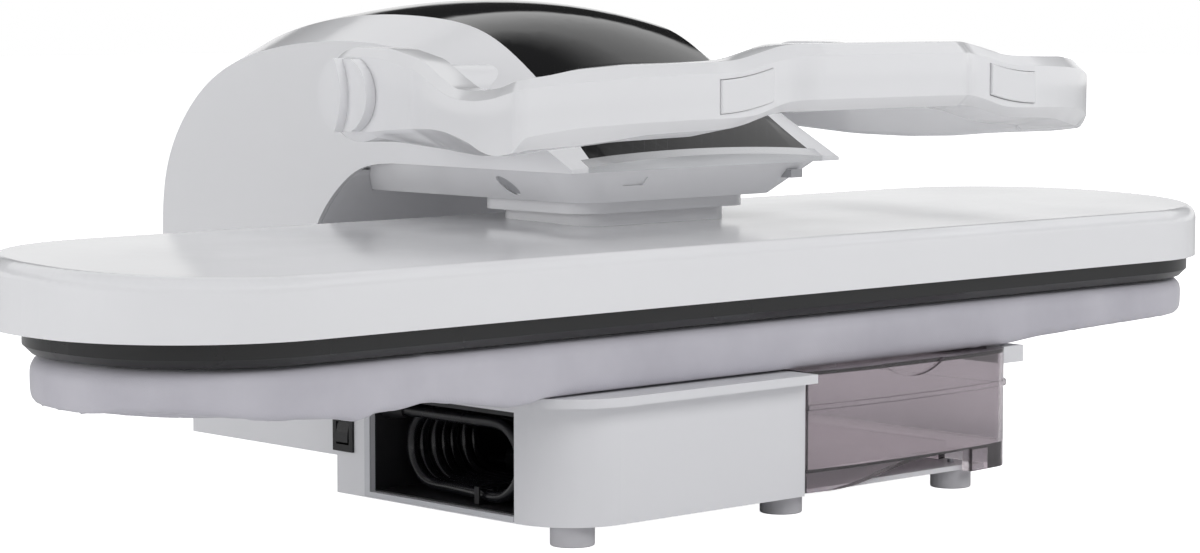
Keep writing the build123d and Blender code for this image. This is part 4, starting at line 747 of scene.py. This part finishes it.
def board_rows():
    """The lines and arcs of the cover's rounded outline, going round from the rear middle."""
    half_x, depth, near = BOARD_HALF - PAD_INSET, BOARD_REAR - PAD_INSET, BOARD_FRONT + PAD_INSET
    front_r, rear_r = FRONT_RADIUS - PAD_INSET, REAR_RADIUS - PAD_INSET
    return [
        ("line", (0, depth), (-(half_x - rear_r), depth)),
        ("arc", (-(half_x - rear_r), depth - rear_r), rear_r, 90, 180),
        ("line", (-half_x, depth - rear_r), (-half_x, near + front_r)),
        ("arc", (-(half_x - front_r), near + front_r), front_r, 180, 270),
        ("line", (-(half_x - front_r), near), (half_x - front_r, near)),
        ("arc", (half_x - front_r, near + front_r), front_r, 270, 360),
        ("line", (half_x, near + front_r), (half_x, depth - rear_r)),
        ("arc", (half_x - rear_r, depth - rear_r), rear_r, 0, 90),
        ("line", (half_x - rear_r, depth), (0, depth)),
    ]


def row_length(row):
    if row[0] == "line":
        return math.hypot(row[2][0] - row[1][0], row[2][1] - row[1][1])
    return math.radians(abs(row[4] - row[3])) * row[2]


BOARD_ROWS = board_rows()
ROW_LENGTHS = [row_length(row) for row in BOARD_ROWS]


def board_point(share):
    """A point of the outline, by its share of the way round."""
    walk = share * sum(ROW_LENGTHS)
    for row, length in zip(BOARD_ROWS, ROW_LENGTHS):
        if walk <= length:
            t = walk / length if length else 0
            if row[0] == "line":
                return row[1][0] + t * (row[2][0] - row[1][0]), row[1][1] + t * (row[2][1] - row[1][1])
            angle = math.radians(row[3] + t * (row[4] - row[3]))
            return row[1][0] + row[2] * math.cos(angle), row[1][1] + row[2] * math.sin(angle)
        walk -= length
    return BOARD_ROWS[-1][2]


def outward_way(x, y):
    """Which way is out at a point of the outline."""
    cx = max(-CORE_HALF, min(CORE_HALF, x))
    cy = max(FRONT_MIDDLE, min(REAR_MIDDLE, y))
    way = Vector((x - cx, y - cy))
    return way.normalized() if way.length > 0 else Vector((0, -1))


def pad_profile(low):
    """The cover's section from its hem, round its hanging lip and onto its top: inset and height."""
    high = PAD_TOP
    rise = PAD_LOW - low
    return [
        (30, PAD_LOW + 2.2), (22, PAD_LOW + 0.4), (14, PAD_LOW), (9.8, PAD_LOW + 0.1),
        (8.5, low + 0.5 * rise), (7.2, low + 0.12 * rise + 0.4), (5.4, low), (3.6, low), (2.1, low + 0.7),
        (1.0, low + 2.2), (0.35, low + 4.5), (0.05, low + 7.5),
        (0, 0.55 * low + 0.45 * high), (0, 0.4 * low + 0.6 * high),
        (0.1, high - 8.5), (0.5, high - 6.6), (1.3, high - 4.9), (2.5, high - 3.2), (4.2, high - 1.9),
        (6.6, high - 0.9), (10, high - 0.3), (15, high), (25, high), (45, high), (80, high),
    ]


# Folds of the front: x and height of the foot, x and height of the head, how far out, how wide
TUCKS = ((-262, 88, -281, 112, 1.5, 4.0), (-300, 86, -309, 99, 0.9, 4.5),
         (-322, 85, -316, 96, -0.8, 5.0), (-352, 88, -341, 103, 0.7, 6.0),
         (-398, 92, -391, 106, 0.8, 6.0), (-207, 82, -216, 97, 1.0, 6.5),
         (-176, 86, -169, 95, 0.6, 5.0), (-96, 86, -104, 96, 0.5, 7.0), (236, 89, 229, 104, 0.8, 6.0),
         (322, 90, 315, 103, 0.7, 6.0))


def tuck_rise(x, z):
    """How far the cloth stands out at a point of its front because of the folds that run down it."""
    rise = 0.0
    for x0, z0, x1, z1, height, width in TUCKS:
        share = min(1, max(0, (z - z0) / (z1 - z0)))
        off = (x - (x0 + (x1 - x0) * share)) / (width * (1.15 - 0.5 * share))
        fade = (1 - smooth(z1 - 3, z1 + 3, z)) * smooth(z0 - 6, z0, z)
        rise += height * fade * (math.exp(-off * off) - 0.55 * math.exp(-(off - 1.5) ** 2))
    return rise


def cloth_rise(x, y, z):
    """Folds and the slow waves of cloth that is drawn in under the board."""
    broad = noise.noise(Vector((x / 34, y / 34, z / 60))) * 0.7
    fine = noise.noise(Vector((x / 11, y / 11, z / 22 + 7))) * 0.28
    low_part = 1 - smooth(96, 112, z)
    front = 1 - smooth(60, 100, y)
    return (broad + fine) * (0.35 + 0.65 * low_part) + tuck_rise(x, z) * front


def pad_rings(around, inset_more):
    """The cover's sections all round the board, each a little further in if asked."""
    rings = []
    for level in range(len(pad_profile(PAD_LOW))):
        ring = []
        for n in range(around):
            x, y = board_point(n / around)
            share = smooth(50, 100, y)
            low = eased(CLOTH_LOW, x, 5.0) * (1 - share) + PAD_LOW * share
            inset, z = pad_profile(low)[level]
            way = outward_way(x, y)
            inset += inset_more
            drop = 0.5 * inset_more * smooth(100, 110, z)
            ring.append(Vector((x - way.x * inset, y - way.y * inset, z - drop)))
        rings.append(ring)
    return rings


def swollen_pad():
    """The pad's closed form, remeshed and blown up a little as cloth, as a tree of its faces."""
    rings = [[at(*point) for point in ring] for ring in pad_rings(FORM_AROUND, FORM_INSET)]
    verts, faces = ring_loft(rings)
    form = outward(mesh_object("pad_cloth_form", verts, faces, "pad_cloth"))
    remesh = form.modifiers.new("Remesh", "REMESH")
    remesh.mode = "VOXEL"
    remesh.voxel_size = 0.005
    shaped(form)
    cloth = form.modifiers.new("Cloth", "CLOTH")
    cloth.settings.quality = 4
    cloth.settings.use_pressure = True
    cloth.settings.uniform_pressure_force = 4.0
    cloth.settings.effector_weights.gravity = 0
    cloth.point_cache.frame_start = 1
    cloth.point_cache.frame_end = CLOTH_FRAMES
    for step in range(1, CLOTH_FRAMES + 1):
        scene.frame_set(step)
    shaped(form)
    spots = [v.co.copy() for v in form.data.vertices]
    tree = BVHTree.FromPolygons(spots, [p.vertices[:] for p in form.data.polygons])
    bpy.data.objects.remove(form)
    scene.frame_set(1)
    return tree


def pulled(spot, tree):
    """A spot drawn towards the blown-up form, no further than the limit."""
    pull = (tree.find_nearest(spot)[0] - spot) * 1000
    if pull.length > SWELL_LIMIT:
        pull = pull.normalized() * SWELL_LIMIT
    return spot + pull / 1000


def settled(point, tree):
    """Where a point of the skin comes to lie: drawn to the form, folded and kept within its limits."""
    start = at(*point)
    spot = start if tree is None else pulled(start, tree)
    level_way = outward_way(point.x, point.y)
    way = Vector((level_way.x, level_way.y, 0))
    edge = 1 - smooth(PAD_TOP - 4, PAD_TOP + 0.5, point.z)
    moved = (spot - start) * 1000 + way * (cloth_rise(*point) * edge)
    outwards = moved.x * way.x + moved.y * way.y
    moved += way * (min(OUT_LIMIT, max(-IN_LIMIT, outwards)) - outwards)
    moved.z = max(-DROP_LIMIT, moved.z)
    spot = start + moved / 1000
    return Vector((spot.x, spot.y, min(spot.z, PAD_TOP / 1000)))


def make_pad():
    """The cover's skin from hem to top, drawn onto the blown-up form and folded."""
    tree = swollen_pad()
    rings = [[settled(point, tree) for point in ring] for ring in pad_rings(PAD_AROUND, 0)]
    verts, faces = ring_loft(rings, close_ends=False)
    faces.append(tuple(reversed(range(len(verts) - PAD_AROUND, len(verts)))))
    return outward(mesh_object("pad_cloth_cover", verts, faces, "pad_cloth"))


pad = make_pad()
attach(pad, "base")
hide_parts("pad_cover")


# The cord gets its material and joins the base once its neighbours exist; the CAD cord pieces are hidden

mains_cord.data.materials.append(materials["cord_black"])
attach(mains_cord, "base")
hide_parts("mains_cord_hank", "mains_cord_tail")


# Studio

REFLECT_HORIZON = 0.16
REFLECT_LOW = 0.42
FLOOR_HALF = 12


def make_floor():
    """A white floor that shows as plain white and keeps the shadow."""
    corners = [(x * FLOOR_HALF, y * FLOOR_HALF, 0) for x, y in ((-1, -1), (1, -1), (1, 1), (-1, 1))]
    floor = mesh_object("studio_floor", corners, [(0, 1, 2, 3)], "white_satin")
    material, shader = new_material("Studio floor", srgb(250, 250, 250), 0.7)
    glow = node(material, "ShaderNodeEmission", Color=(1, 1, 1, 1))
    path = node(material, "ShaderNodeLightPath")
    link(material, path.outputs["Is Camera Ray"], glow.inputs["Strength"])
    total = node(material, "ShaderNodeAddShader")
    output = [n for n in material.node_tree.nodes if n.type == "OUTPUT_MATERIAL"][0]
    link(material, shader.outputs["BSDF"], total.inputs[0])
    link(material, glow.outputs["Emission"], total.inputs[1])
    link(material, total.outputs["Shader"], output.inputs["Surface"])
    floor.data.materials[0] = material


def make_world():
    """Soft fill for the shading, plain white behind and, for reflections, bands by height."""
    world = bpy.data.worlds.new("Studio")
    scene.world = world
    world.use_nodes = True
    tree = world.node_tree
    tree.nodes.clear()

    def shade(strength):
        made = tree.nodes.new("ShaderNodeBackground")
        made.inputs["Color"].default_value = (1, 1, 1, 1)
        made.inputs["Strength"].default_value = strength
        return made

    def mixed(factor, first, second):
        made = tree.nodes.new("ShaderNodeMixShader")
        tree.links.new(factor, made.inputs["Fac"])
        tree.links.new(first, made.inputs[1])
        tree.links.new(second, made.inputs[2])
        return made.outputs["Shader"]

    fill = shade(0.36)
    fill.inputs["Color"].default_value = (0.97, 0.98, 1, 1)
    plain = shade(1.0)
    mirror = shade(1.0)
    way = tree.nodes.new("ShaderNodeTexCoord")
    parts = tree.nodes.new("ShaderNodeSeparateXYZ")
    band = tree.nodes.new("ShaderNodeValToRGB")
    tree.links.new(way.outputs["Generated"], parts.inputs["Vector"])
    tree.links.new(parts.outputs["Z"], band.inputs["Fac"])
    stops = ((0.0, 0.95), (REFLECT_HORIZON, 0.95), (REFLECT_HORIZON + 0.05, 0.03), (REFLECT_LOW, 0.03),
             (REFLECT_LOW + 0.03, 1.0), (0.7, 0.8), (0.8, 0.1), (1.0, 0.1))
    band.color_ramp.elements[0].position = 0.0
    band.color_ramp.elements[1].position = 1.0
    for place, value in stops[1:-1]:
        band.color_ramp.elements.new(place)
    for stop, (place, value) in zip(band.color_ramp.elements, stops):
        stop.position = place
        stop.color = (value, value, value, 1)
    tree.links.new(band.outputs["Color"], mirror.inputs["Color"])
    path = tree.nodes.new("ShaderNodeLightPath")
    shown = mixed(path.outputs["Is Glossy Ray"], fill.outputs["Background"], mirror.outputs["Background"])
    seen = tree.nodes.new("ShaderNodeMath")
    seen.operation = "MAXIMUM"
    tree.links.new(path.outputs["Is Camera Ray"], seen.inputs[0])
    tree.links.new(path.outputs["Is Transmission Ray"], seen.inputs[1])
    out = tree.nodes.new("ShaderNodeOutputWorld")
    tree.links.new(mixed(seen.outputs["Value"], shown, plain.outputs["Background"]), out.inputs["Surface"])


def softbox(name, place, target, size, power):
    """An area lamp that lights but isn't mirrored."""
    data = bpy.data.lights.new(name, "AREA")
    data.shape = "RECTANGLE"
    data.size, data.size_y = size
    data.energy = power
    lamp = bpy.data.objects.new(name, data)
    lamp.location = place
    lamp.rotation_euler = (Vector(target) - Vector(place)).to_track_quat("-Z", "Y").to_euler()
    lamp.visible_glossy = False
    scene.collection.objects.link(lamp)


make_floor()
make_world()
softbox("Key", (0.5, -2.5, 1.9), (0, 0, 0.15), (2.2, 1.4), 36)
softbox("Left", (-2.6, 0.3, 0.5), (0, 0.05, 0.2), (1.6, 0.8), 17)
softbox("Top", (0.1, 0.6, 2.4), (0, 0, 0.1), (2.0, 1.4), 11)
